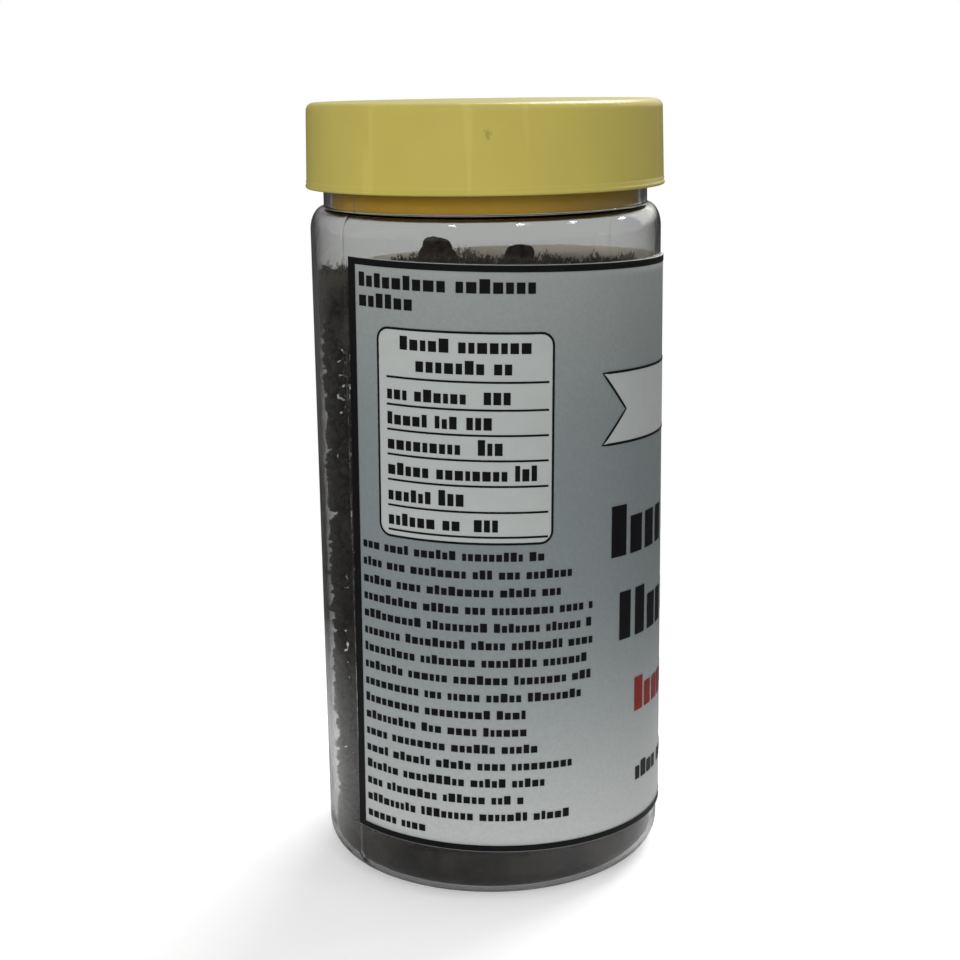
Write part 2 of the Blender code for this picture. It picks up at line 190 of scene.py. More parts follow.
class StageSettings(bpy.types.PropertyGroup):
    """Floor, lights and camera."""

    floor: colour_property("Floor", "Colour of the floor", (0.88, 0.88, 0.88))
    surround: colour_property("Surround", "Grey seen through the plastic", (0.46, 0.46, 0.455))
    mirrored: colour_property("Mirrored", "Room that the plastic mirrors", (0.065, 0.065, 0.064))
    overhead: colour_property("Overhead", "Mirrored from above", (0.28, 0.28, 0.28))
    glow: colour_property("Glow", "Mirrored from behind at the right", (1.1, 1.1, 1.05))
    floor_lift: number_property("Floor lift", "Extra brightness of the floor as seen", 0.25)
    floor_mirrored: number_property("Floor mirrored", "Its brightness in the plastic", 0.5)
    fade_start: length_property("Fade start", "Where the floor starts to fade", 0.07)
    fade_end: length_property("Fade end", "Where the floor is even white", 0.16)
    lamp_power: number_property("Lamp power", "Power of a small lamp", 0.5, unit="POWER")
    wide_power: number_property("Wide power", "Power of the left lamp", 8.0, unit="POWER")
    behind_power: number_property("Behind power", "Power of the one behind", 12.0, unit="POWER")
    lamp_size: length_property("Lamp size", "Side of one small lamp", 0.08)
    lens: number_property("Lens", "Focal length", 65.62, subtype="DISTANCE_CAMERA")
    camera_away: length_property("Camera away", "Distance from the axis", 331.88 * MM)
    camera_height: length_property("Camera height", "Height of the camera", 149.3 * MM)
    pitch: angle_property("Pitch", "How far the camera looks down", 12.992)
    yaw: angle_property("Yaw", "How far it looks to the right", -0.298)
    roll: angle_property("Roll", "How far it is rolled", -0.8)


def clear_piece(name):
    """Removes an earlier piece of this name, so that an operator can run again."""
    old = bpy.data.objects.get(name)
    if old is not None:
        bpy.data.objects.remove(old, do_unlink=True)


def add_mesh(name, places, faces, materials, smooth=True):
    """Puts arrays of places and of faces into a mesh object. Each array of faces has one width."""
    clear_piece(name)
    mesh = bpy.data.meshes.new(name)
    faces = [block for block in faces if len(block)]
    sizes = np.concatenate([np.full(len(block), block.shape[1]) for block in faces])
    corners = np.concatenate([block.reshape(-1) for block in faces])
    mesh.vertices.add(len(places))
    mesh.vertices.foreach_set("co", np.asarray(places, dtype=np.float32).reshape(-1))
    mesh.loops.add(len(corners))
    mesh.loops.foreach_set("vertex_index", corners.astype(np.int32))
    mesh.polygons.add(len(sizes))
    starts = np.concatenate([[0], np.cumsum(sizes)[:-1]])
    mesh.polygons.foreach_set("loop_start", starts.astype(np.int32))
    mesh.update(calc_edges=True)
    mesh.validate()
    if smooth:
        mesh.shade_smooth()
    for material in materials:
        mesh.materials.append(material)
    item = bpy.data.objects.new(name, mesh)
    bpy.context.scene.collection.objects.link(item)
    return item


def grid_faces(rows, columns, close_rows=False, close_columns=True):
    """Quads between neighbours of a grid; a closed side joins its last points to its first."""
    i = np.arange(rows if close_rows else rows - 1)[:, None]
    j = np.arange(columns if close_columns else columns - 1)[None, :]
    up = (i + 1) % rows * columns
    right = (j + 1) % columns
    quads = [i * columns + j, i * columns + right, up + right, up + j]
    return np.stack(np.broadcast_arrays(*quads), -1).reshape(-1, 4)


def pole_faces(pole, ring, rising):
    """Triangles from a pole to the ring beside it, turned as the grid's quads are."""
    after = np.roll(ring, -1)
    tip = np.full(len(ring), pole)
    return np.stack([ring, after, tip] if rising else [tip, after, ring], -1)


def ball_faces(rows, columns):
    """Faces of a grid closed by two poles, whose places come after the grid's."""
    count, ring = rows * columns, np.arange(columns)
    top = pole_faces(count + 1, count - columns + ring, True)
    return [grid_faces(rows, columns), pole_faces(count, ring, False), top]


def round_angles(count):
    """Evenly spaced angles all round."""
    return np.linspace(0, TURN, count, endpoint=False)


def unit(vectors):
    """The same directions with length 1."""
    return vectors / np.linalg.norm(vectors, axis=-1, keepdims=True)


def turned_surface(name, profile, angles, materials, relief=None, lift=None):
    """A body of revolution, closed at the axis or along the profile.

    Point (i, j) = (r cos a, r sin a, z), with (r, z) = profile[i], a = angles[j], r raised by
    relief[i, j] and z by lift[i, j]. The profile runs up the outer side, so that faces point
    outwards. Where its ends lie on the axis they become poles; otherwise it joins up.
    """
    on_axis = profile[0, 0] < 1e-9
    body = profile[1:-1] if on_axis else profile
    radius = np.broadcast_to(body[:, :1], (len(body), len(angles)))
    if relief is not None:
        radius = radius + (relief[1:-1] if on_axis else relief)
    height = np.broadcast_to(body[:, 1:], radius.shape)
    if lift is not None:
        height = height + lift[1:-1]
    places = np.stack([radius * np.cos(angles), radius * np.sin(angles), height], -1)
    places = places.reshape(-1, 3)
    if not on_axis:
        return add_mesh(name, places, [grid_faces(*radius.shape, close_rows=True)], materials)
    places = np.vstack([places, (0, 0, profile[0, 1]), (0, 0, profile[-1, 1])])
    return add_mesh(name, places, ball_faces(*radius.shape), materials)


def line(start, end, step):
    """Points on a straight line of the profile, about a step apart, without the last one."""
    count = max(1, round(math.dist(start, end) / step))
    share = np.arange(count)[:, None] / count
    return np.array(start) + share * (np.array(end) - np.array(start))


def ellipse(centre, reach, start, end, count):
    """Profile points centre + (reach r cos a, reach z sin a), a from start to end in degrees.

    A single reach makes it round.
    """
    a = np.radians(np.linspace(start, end, count + 1))
    return np.array(centre) + np.stack([np.cos(a), np.sin(a)], -1) * reach


def smooth_step(x):
    """Rises from 0 to 1 as 3x^2 - 2x^3."""
    x = np.clip(x, 0, 1)
    return x * x * (3 - 2 * x)


def thread_ridge(angles, heights, thread, start, turns):
    """Ridge depth over a grid: a raised cosine across a helix, fading in and out over its ends.

    The helix rises from start by one pitch a turn; each pass over an angle is added in turn.
    """
    ridge = np.zeros((len(heights), len(angles)))
    for lap in range(math.ceil(turns)):
        share = (np.mod(angles, TURN) / TURN + lap) / turns
        centre = start + thread.pitch * turns * share
        ends = smooth_step(np.minimum(share, 1 - share) * 14)
        off = np.clip(np.abs(heights[:, None] - centre[None, :]) / thread.half_width, 0, 1)
        ridge += ends[None, :] * thread.depth * 0.5 * (1 + np.cos(np.pi * off))
    return ridge


def feed(tree, node, values):
    """Gives a node's inputs their values, or links them where the value is another's output."""
    for key, value in values.items():
        socket = node.inputs[key]
        if isinstance(value, bpy.types.NodeSocket):
            tree.links.new(value, socket)
        elif socket.type == "RGBA":
            socket.default_value = (*value, 1.0)
        else:
            socket.default_value = value


def add_node(tree, kind, values=None, **fields):
    """Adds a shader node, sets its own fields and feeds its inputs."""
    node = tree.nodes.new("ShaderNode" + kind)
    for field, value in fields.items():
        setattr(node, field, value)
    feed(tree, node, values or {})
    return node


def new_material(name):
    """A material with an empty tree but for its Principled shader and output."""
    material = bpy.data.materials.get(name) or bpy.data.materials.new(name)
    material.use_nodes = True
    tree = material.node_tree
    tree.nodes.clear()
    shader = add_node(tree, "BsdfPrincipled")
    output = add_node(tree, "OutputMaterial", {"Surface": shader.outputs["BSDF"]})
    return material, tree, shader, output


def surface_wear_group():
    """Node group: noise for small changes of colour and gloss, and fine marks for the bump."""
    group = bpy.data.node_groups.get("surface_wear")
    if group is not None:
        return group
    group = bpy.data.node_groups.new("surface_wear", "ShaderNodeTree")
    scales = {"Patch Scale": 60.0, "Grain Scale": 2500.0, "Scratch Scale": 400.0}
    for name, default in scales.items():
        socket = group.interface.new_socket(
            name=name, in_out="INPUT", socket_type="NodeSocketFloat"
        )
        socket.default_value = default
    for name in ("Patches", "Grain", "Scratches"):
        group.interface.new_socket(name=name, in_out="OUTPUT", socket_type="NodeSocketFloat")
    entry = group.nodes.new("NodeGroupInput")
    leave = group.nodes.new("NodeGroupOutput")
    where = add_node(group, "TexCoord").outputs["Object"]
    slant = {"Vector": where, "Scale": (1.0, 1.0, 0.06), "Rotation": (0.9, 0.5, 0.3)}
    stretched = add_node(group, "Mapping", slant).outputs["Vector"]
    noises = [
        add_node(group, "TexNoise", {
            "Vector": vector, "Scale": entry.outputs[scale], "Detail": detail,
        }).outputs["Fac"]
        for scale, vector, detail in zip(scales, (where, where, stretched), (4.0, 3.0, 2.0))
    ]
    marks = add_node(group, "ValToRGB", {"Fac": noises[2]})
    marks.color_ramp.elements[0].position = 0.66
    marks.color_ramp.elements[1].position = 0.72
    results = {"Patches": noises[0], "Grain": noises[1], "Scratches": marks.outputs["Color"]}
    feed(group, leave, results)
    return group


def place_wear(tree, *scales):
    """The outputs of the wear group, at scales for its patches, grain and scratches."""
    values = dict(zip(("Patch Scale", "Grain Scale", "Scratch Scale"), scales))
    return add_node(tree, "Group", values, node_tree=surface_wear_group()).outputs


def blend_colours(tree, factor, first, second, way="MIX"):
    """The result of a colour mix; first and second are colours or sockets."""
    values = {0: factor, 6: first, 7: second}
    return add_node(tree, "Mix", values, data_type="RGBA", blend_type=way).outputs[2]


def combine(tree, way, first, second):
    """The result of a sum; way names the operation, first and second are numbers or sockets."""
    return add_node(tree, "Math", {0: first, 1: second}, operation=way).outputs["Value"]


def remap(tree, value, low, high, to_low, to_high):
    """Maps a value from one range to another, clamped."""
    ends = {"From Min": low, "From Max": high, "To Min": to_low, "To Max": to_high}
    return add_node(tree, "MapRange", {"Value": value, **ends}).outputs["Result"]


def mix_shaders(tree, factor, first, second):
    """A mix of two shaders: the first where the factor is 0."""
    return add_node(tree, "MixShader", {0: factor, 1: first, 2: second}).outputs["Shader"]


def object_place(tree):
    """A place in the object's own frame, and the outputs with its X, Y and Z."""
    where = add_node(tree, "TexCoord").outputs["Object"]
    return where, add_node(tree, "SeparateXYZ", {"Vector": where}).outputs


def bump(tree, shader, height, strength, distance):
    """Roughens a shader's normal by a height."""
    values = {"Height": height, "Strength": strength, "Distance": distance}
    feed(tree, shader, {"Normal": add_node(tree, "Bump", values).outputs["Normal"]})


def scaled(colour, factor, more=0.0):
    """A colour with each channel multiplied, then raised, but not past 1."""
    return tuple(min(1.0, channel * factor + more) for channel in colour)


def clear_plastic(settings):
    """Clear blown plastic: light ripples and faint scuffs; shadows pass through it."""
    material, tree, shader, output = new_material("clear_bottle_plastic")
    wear = place_wear(tree, 45.0, 900.0, 260.0)
    scuffed = combine(tree, "MULTIPLY", wear["Scratches"], wear["Patches"])
    feed(tree, shader, {
        "Base Color": settings.colour,
        "Metallic": 0.0,
        "Transmission Weight": 1.0,
        "IOR": 1.57,
        "Roughness": remap(tree, scuffed, 0.0, 0.7, 0.03, 0.16),
    })
    bump(tree, shader, wear["Patches"], 0.25, 0.0006)
    through = add_node(tree, "BsdfTransparent").outputs["BSDF"]
    shadow = add_node(tree, "LightPath").outputs["Is Shadow Ray"]
    both = mix_shaders(tree, shadow, shader.outputs["BSDF"], through)
    feed(tree, output, {"Surface": both})
    return material


def moulded_plastic(name, colour, roughness, scuff=None):
    """Moulded coloured plastic: fine grain, soft cloudiness and a few hair scratches.

    A scuff is a place where the surface is nicked and a little darker.
    """
    material, tree, shader, _ = new_material(name)
    wear = place_wear(tree, 55.0, 1800.0, 330.0)
    cloudy = remap(tree, wear["Patches"], 0.35, 0.65, 0.0, 1.0)
    shade = blend_colours(tree, cloudy, scaled(colour, 0.93), colour)
    thin = remap(tree, wear["Scratches"], 0.0, 1.0, 0.0, 0.22)
    tone = blend_colours(tree, thin, shade, scaled(colour, 1.15, 0.05))
    if scuff is not None:
        where, _ = object_place(tree)
        away = add_node(tree, "VectorMath", {0: where, 1: scuff}, operation="DISTANCE")
        ragged = remap(tree, wear["Grain"], 0.35, 0.65, 0.5, 1.8)
        off = combine(tree, "MULTIPLY", away.outputs["Value"], ragged)
        nick = remap(tree, off, 0.35 * MM, 0.75 * MM, 0.6, 0.0)
        tone = blend_colours(tree, nick, tone, scaled(colour, 0.55))
    feed(tree, shader, {
        "Base Color": tone,
        "Roughness": remap(tree, wear["Grain"], 0.3, 0.7, roughness - 0.05, roughness + 0.06),
        "IOR": 1.49,
    })
    bump(tree, shader, wear["Grain"], 0.12, 0.00012)
    return material


def label_paper(settings):
    """Printed paper film: a vertical fade from the edges to the middle, with a faint grain."""
    material, tree, shader, _ = new_material("label_paper")
    _, place = object_place(tree)
    share = remap(tree, place["Z"], settings.low, settings.high, 0.0, 1.0)
    fade = add_node(tree, "ValToRGB", {"Fac": share})
    stops = fade.color_ramp
    stops.interpolation = "B_SPLINE"
    stops.elements[0].color = (*settings.ground_low, 1.0)
    stops.elements[1].color = (*settings.ground_high, 1.0)
    middle = np.array(settings.ground_middle)
    for height, mix in ((0.22, 0.62), (0.42, 1.0), (0.74, 1.0)):
        end = np.array(settings.ground_low if height < 0.5 else settings.ground_high)
        stops.elements.new(height).color = (*(end + (middle - end) * mix), 1.0)
    wear = place_wear(tree, 30.0, 1500.0, 200.0)
    speck = remap(tree, wear["Grain"], 0.3, 0.7, 0.95, 1.05)
    grey = add_node(tree, "CombineColor", dict.fromkeys(("Red", "Green", "Blue"), speck))
    paper, grain = fade.outputs["Color"], grey.outputs["Color"]
    feed(tree, shader, {
        "Base Color": blend_colours(tree, 1.0, paper, grain, "MULTIPLY"),
        "Roughness": remap(tree, wear["Patches"], 0.3, 0.7, 0.36, 0.46),
    })
    bump(tree, shader, wear["Grain"], 0.06, 0.00005)
    return material


def printed_ink(name, colour):
    """Printed ink or a printed flat tone: a little uneven, with the film's gloss."""
    material, tree, shader, _ = new_material(name)
    wear = place_wear(tree, 300.0, 4000.0, 500.0)
    feed(tree, shader, {
        "Base Color": blend_colours(tree, wear["Patches"], colour, scaled(colour, 1.12, 0.004)),
        "Roughness": remap(tree, wear["Grain"], 0.3, 0.7, 0.36, 0.46),
        "Specular IOR Level": 0.12,
    })
    return material


def pepper_husk(settings):
    """Dried husk: painted shade, near black, between the berries, brown on them, with patches of
    pale dust.
    """
    material, tree, shader, _ = new_material("long_pepper_husk")
    berry = add_node(tree, "Attribute", attribute_name="berry").outputs["Fac"]
    shade = add_node(tree, "Attribute", attribute_name="shade").outputs["Fac"]
    wear = place_wear(tree, 160.0, 3200.0, 900.0)
    # Painted shade: the colour falls from the husk on the berry tops to near black in the gaps
    # between them.
    top = remap(tree, berry, 0.15, 0.85, 0.0, 1.0)
    base = blend_colours(tree, top, settings.gap, settings.husk)
    tone = remap(tree, shade, 0.0, 1.0, 0.0, 0.55)
    base = blend_colours(tree, tone, base, scaled(settings.husk, 0.35))
    patches = remap(tree, wear["Patches"], 0.46, 0.70, 0.0, 1.0)
    grains = remap(tree, wear["Grain"], 0.40, 0.68, 0.0, 0.8)
    dusty = combine(tree, "MULTIPLY", patches, grains)
    feed(tree, shader, {
        "Base Color": blend_colours(tree, dusty, base, settings.dust),
        "Roughness": remap(tree, wear["Grain"], 0.3, 0.7, 0.72, 0.92),
    })
    bump(tree, shader, wear["Grain"], 0.9, 0.00035)
    return material


def wall_dust(settings):
    """Dust clinging to the wall: patchy lower down, with a fibrous upper edge.

    Alpha = how far a place lies above a rough lower edge, times how far it lies below a rough
    upper one; noise moves both edges.
    """
    material, tree, shader, _ = new_material("pepper_wall_dust")
    where, place = object_place(tree)
    wear = place_wear(tree, 170.0, 3000.0, 900.0)
    squeezed = add_node(tree, "Mapping", {"Vector": where, "Scale": (1.0, 1.0, 0.5)})
    fibres = add_node(tree, "TexNoise", {
        "Vector": squeezed.outputs["Vector"], "Scale": 2100.0, "Detail": 6.0, "Roughness": 0.7,
    })
    fringe = remap(tree, fibres.outputs["Fac"], 0.3, 0.7, -1.5 * MM, 1.5 * MM)
    drift = remap(tree, wear["Patches"], 0.35, 0.65, -1.3 * MM, 1.3 * MM)
    patch = remap(tree, wear["Patches"], 0.35, 0.65, -8 * MM, 8 * MM)
    top, radius = settings.heap_top + 2.2 * MM, settings.heap_radius
    fall = remap(tree, place["Y"], -radius, radius, 0.0, 2 * radius * settings.heap_slope)
    height = combine(tree, "ADD", place["Z"], fall)
    upper = combine(tree, "ADD", combine(tree, "ADD", height, fringe), drift)
    lower = combine(tree, "ADD", height, patch)
    below = remap(tree, upper, top - 0.6 * MM, top + 0.5 * MM, 1.0, 0.0)
    above = remap(tree, lower, top - 15 * MM, top - 3 * MM, 0.0, 0.9)
    pale_top = remap(tree, lower, top - 12 * MM, top - 1 * MM, 0.0, 1.0)
    pale_left = remap(tree, place["X"], -29 * MM, -15 * MM, 1.0, 0.15)
    pale = combine(tree, "MULTIPLY", pale_top, pale_left)
    speck = remap(tree, wear["Grain"], 0.3, 0.7, 0.55, 1.0)
    share = combine(tree, "MULTIPLY", speck, pale)
    feed(tree, shader, {
        "Base Color": blend_colours(tree, share, scaled(settings.dust, 0.22), settings.dust),
        "Roughness": 0.9,
        "Alpha": combine(tree, "MULTIPLY", below, above),
    })
    return material


def own(piece, body, slot, *nodes):
    """Tells the frame which body a piece rides on and hides the imported solids of the nodes it
    stands for; slot is not used.
    """
    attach(piece, body)
    if nodes:
        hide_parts(*nodes)
    return piece


def seam_angles(azimuth, columns, half_width):
    """Angles about the axis, evenly spaced but closer at the two mould seams, half a turn apart."""
    even = np.linspace(0, TURN, columns, endpoint=False)
    near = np.array([-1.0, -0.5, 0.0, 0.5, 1.0]) * half_width
    seam = azimuth - math.pi / 2
    extra = np.concatenate([seam + near, seam + math.pi + near])
    return np.unique(np.round(np.mod(np.concatenate([even, extra]), TURN), 6))


class PEPPERJAR_OT_bottle(bpy.types.Operator):
    """Build the clear bottle with its thread, base push-up and mould seam"""

    bl_idname = "pepper_jar.bottle"
    bl_label = "Build Bottle"

    def execute(self, context):
        size = context.scene.pepper_jar_bottle
        thread = context.scene.pepper_jar_thread
        profile = self.profile(size)
        radius, height = profile.T
        seam_width = 0.011
        angles = seam_angles(size.seam_azimuth, 208, seam_width)
        outer = np.arange(len(profile)) < np.argmax(height)
        on_neck = outer & (radius > size.neck_radius - 0.1 * MM) & (height > size.shoulder_top)
        relief = thread_ridge(angles, height, thread, thread.start, thread.turns)
        relief *= on_neck[:, None]
        seam = size.seam_azimuth - math.pi / 2
        off = np.abs(np.mod(angles - seam + math.pi / 2, math.pi) - math.pi / 2)
        ridge = 0.07 * MM * np.clip(1 - off / seam_width, 0, 1)
        relief += ridge * (outer & (radius > size.push_up_radius))[:, None]
        piece = turned_surface("clear_bottle", profile, angles, [clear_plastic(size)], relief)
        own(piece, "jar", "clear_plastic", "jar")
        return {"FINISHED"}
    def profile(self, size):
        """The outline from the outer base middle, up the wall and neck, and down the inner side.

        Foot and rim are quarter circles, the shoulder is a quarter ellipse that meets the neck in
        a small hollow fillet, and the base rises to the middle by a smooth step. The shoulder's
        inner side is the outer one moved in by the wall, and a wider bend leads into the bore.
        """
        outer, neck, low, rim = size.radius, size.neck_radius, size.shoulder_low, size.rim
        inner, bore = outer - size.wall, neck - size.neck_wall
        foot = (outer - size.corner, size.corner)
        fillet, lip = 0.2 * MM, 0.4 * MM
        spread = np.linspace(0, size.push_up_radius, 40)
        dome = size.push_up * (1 - smooth_step((spread / size.push_up_radius - 0.72) / 0.28))
        gate = 0.35 * MM * (1 - smooth_step((spread - 1.2 * MM) / (0.8 * MM)))
        reach = np.array([outer - neck, size.shoulder_top - low])
        shoulder = ellipse((neck, low), reach, 0, 90, 24)
        shoulder = shoulder[shoulder[:, 0] > neck + fillet]
        neck_foot = (neck + fillet, shoulder[-1, 1] + fillet)
        outside = [
            np.stack([spread, dome - gate], -1),
            ellipse(foot, size.corner, -90, 0, 14),
            line((outer, size.corner + 0.5 * MM), (outer, low), 2 * MM),
            shoulder,
            ellipse(neck_foot, fillet, -92, -180, 8),
            line((neck, neck_foot[1] + 0.2 * MM), (neck, rim - lip), 0.2 * MM),
            ellipse((neck - lip, rim - lip), lip, 0, 90, 5),
        ]
        bend = size.neck_wall + fillet
        turn = np.radians(np.linspace(88, 0, 30))
        way = np.stack([np.cos(turn), np.sin(turn)], -1)
        ledge = (neck, low) + way * reach - size.wall * unit(way / reach)
        ledge = ledge[ledge[:, 0] > bore + bend]
        bore_foot = (bore + bend, ledge[0, 1] + bend)
        inside = [
            ellipse((bore + lip, rim - lip), lip, 90, 180, 5),
            line((bore, rim - 2 * lip), (bore, bore_foot[1] + 0.3 * MM), 1.5 * MM),
            ellipse(bore_foot, bend, 180, 268, 12),
            ledge,
            line((inner, low - 2 * MM), (inner, size.corner), 3 * MM),
            ellipse(foot, size.corner - size.wall, 0, -90, 12),
            np.stack([spread, dome + size.wall], -1)[::-1],
        ]
        return np.concatenate(outside + inside)
class PEPPERJAR_OT_label(bpy.types.Operator):
    """Build the wrap label's sheet, a little askew round the wall"""

    bl_idname = "pepper_jar.label"
    bl_label = "Build Label"

    def execute(self, context):
        size = context.scene.pepper_jar_label
        half = (size.high - size.low) / 2
        reach = size.sweep * size.radius
        s = np.linspace(-size.margin, reach, 181)
        t = np.linspace(-half, half, 41)
        places = on_label(size, s[None, :], t[:, None], size.thickness)
        faces = grid_faces(len(t), len(s), close_columns=False)
        back, edge = printed_ink("label_back", size.back), printed_ink("label_edge", size.edge)
        papers = [label_paper(size), back, edge]
        piece = add_mesh("label_sheet", places.reshape(-1, 3), [faces], papers)
        sheet = piece.modifiers.new("Sheet", "SOLIDIFY")
        sheet.thickness = size.thickness
        sheet.offset = -1.0
        sheet.material_offset = 1
        sheet.material_offset_rim = 2
        own(piece, "jar", "label_print", "label")
        return {"FINISHED"}


def on_label(size, s, t, rise):
    """Places on the sheet, at s along it and t up from its middle, raised off its inner face.

    Azimuth = left + (s + t tan(lean)) / radius and height = middle + lift + t - s tan(tilt), so
    the sheet turns about its own point at the front.
    """
    slope = math.tan(size.tilt)
    lift = -size.left * size.radius * slope
    azimuth = size.left + (s + t * math.tan(size.lean)) / size.radius
    height = (size.low + size.high) / 2 + lift + t - s * slope
    radius = size.radius + rise
    parts = np.broadcast_arrays(radius * np.sin(azimuth), -radius * np.cos(azimuth), height)
    return np.stack(parts, -1)


class PrintLayer:
    """Flat marks of one colour on the label, kept as grids of (s, t) until they become a mesh."""

    def __init__(self):
        self.flat, self.faces, self.count = [], [], 0

    def add(self, s, t, faces):
        """Adds places at s and t, in metres, with their faces."""
        self.flat.append(np.stack([s, t], -1).reshape(-1, 2))
        self.faces.append(faces + self.count)
        self.count += s.size

    def add_grid(self, s, t):
        """Adds one patch from grids of s and t, rows going up and columns going along the sheet."""
        self.add(s, t, grid_faces(*s.shape, close_columns=False))

    def box(self, left, right, low, high):
        """A rectangle, cut along the sheet about every millimetre and a half, to follow it."""
        columns = max(2, round((right - left) / 1.5) + 1)
        s = np.linspace(left, right, columns)[None, :] * MM
        t = np.array([low, high])[:, None] * MM
        self.add_grid(*np.broadcast_arrays(s, t))

    def boxes(self, left, right, low, high):
        """Many small rectangles at once, given as arrays of their four sides."""
        s = np.stack([left, right, right, left], -1) * MM
        t = np.stack([low, low, high, high], -1) * MM
        self.add(s, t, np.arange(s.size).reshape(-1, 4))

    def rule(self, left, right, height):
        """A thin line along the sheet."""
        half = 0.19
        self.box(left, right, height - half, height + half)

    def band(self, outline, width=0.42):
        """A line of a width along an open or closed outline: each point moved half to each side.

        The side is square to the course between the neighbours of the point.
        """
        points = np.array(outline) * MM
        closed = np.allclose(points[0], points[-1])
        before = np.roll(points, 1, axis=0)
        after = np.roll(points, -1, axis=0)
        before[0], after[-1] = points[[-2, 1] if closed else [0, -1]]
        course = unit(after - before)
        side = np.stack([-course[:, 1], course[:, 0]], -1) * width * MM / 2
        pair = np.stack([points - side, points + side])
        self.add_grid(pair[..., 0], pair[..., 1])

    def finish(self, name, size, material, rise):
        """Wraps the marks onto the label as one piece."""
        flat = np.concatenate(self.flat)
        places = on_label(size, flat[:, 0], flat[:, 1], size.thickness + rise)
        piece = add_mesh(name, places, [np.concatenate(self.faces)], [material])
        return own(piece, "jar", "label_print")


def rounded_outline(left, right, low, high, corner):
    """A closed outline with round corners, with points about every millimetre and a half."""
    corners = (
        (right - corner, low + corner, -90), (right - corner, high - corner, 0),
        (left + corner, high - corner, 90), (left + corner, low + corner, 180),
    )
    points = [ellipse((s, t), corner, turn, turn + 90, 6) for s, t, turn in corners]
    points.append(points[0][:1])
    return dense(np.concatenate(points), 1.5)


def dense(points, step):
    """The same outline with extra points, so that no stretch is longer than a step."""
    parts = [line(points[i], points[i + 1], step) for i in range(len(points) - 1)]
    return np.concatenate(parts + [np.array(points[-1:])])


def block_words(layer, draw, left, right, base, tall, wide):
    """Plain blocks in place of a line of words, from left to right, of x-height `tall`.

    Runs of 3 to 9 blocks make a word. A few blocks stand a little higher than the rest.
    """
    gap, space = 0.30 * wide, 0.80 * wide
    starts, ends, place = [], [], left
    while place < right - wide:
        for _ in range(draw.integers(3, 10)):
            step = wide * draw.uniform(0.62, 1.12)
            if place + step > right:
                place = right
                break
            starts.append(place)
            ends.append(place + step)
            place += step + gap
        place += space
    if not starts:
        return
    starts, ends = np.array(starts), np.array(ends)
    kind = draw.random(len(starts))
    low = np.full(len(starts), base)
    high = np.where(kind > 0.80, 1.28 * tall, tall) + base
    layer.boxes(starts, ends, low, high)


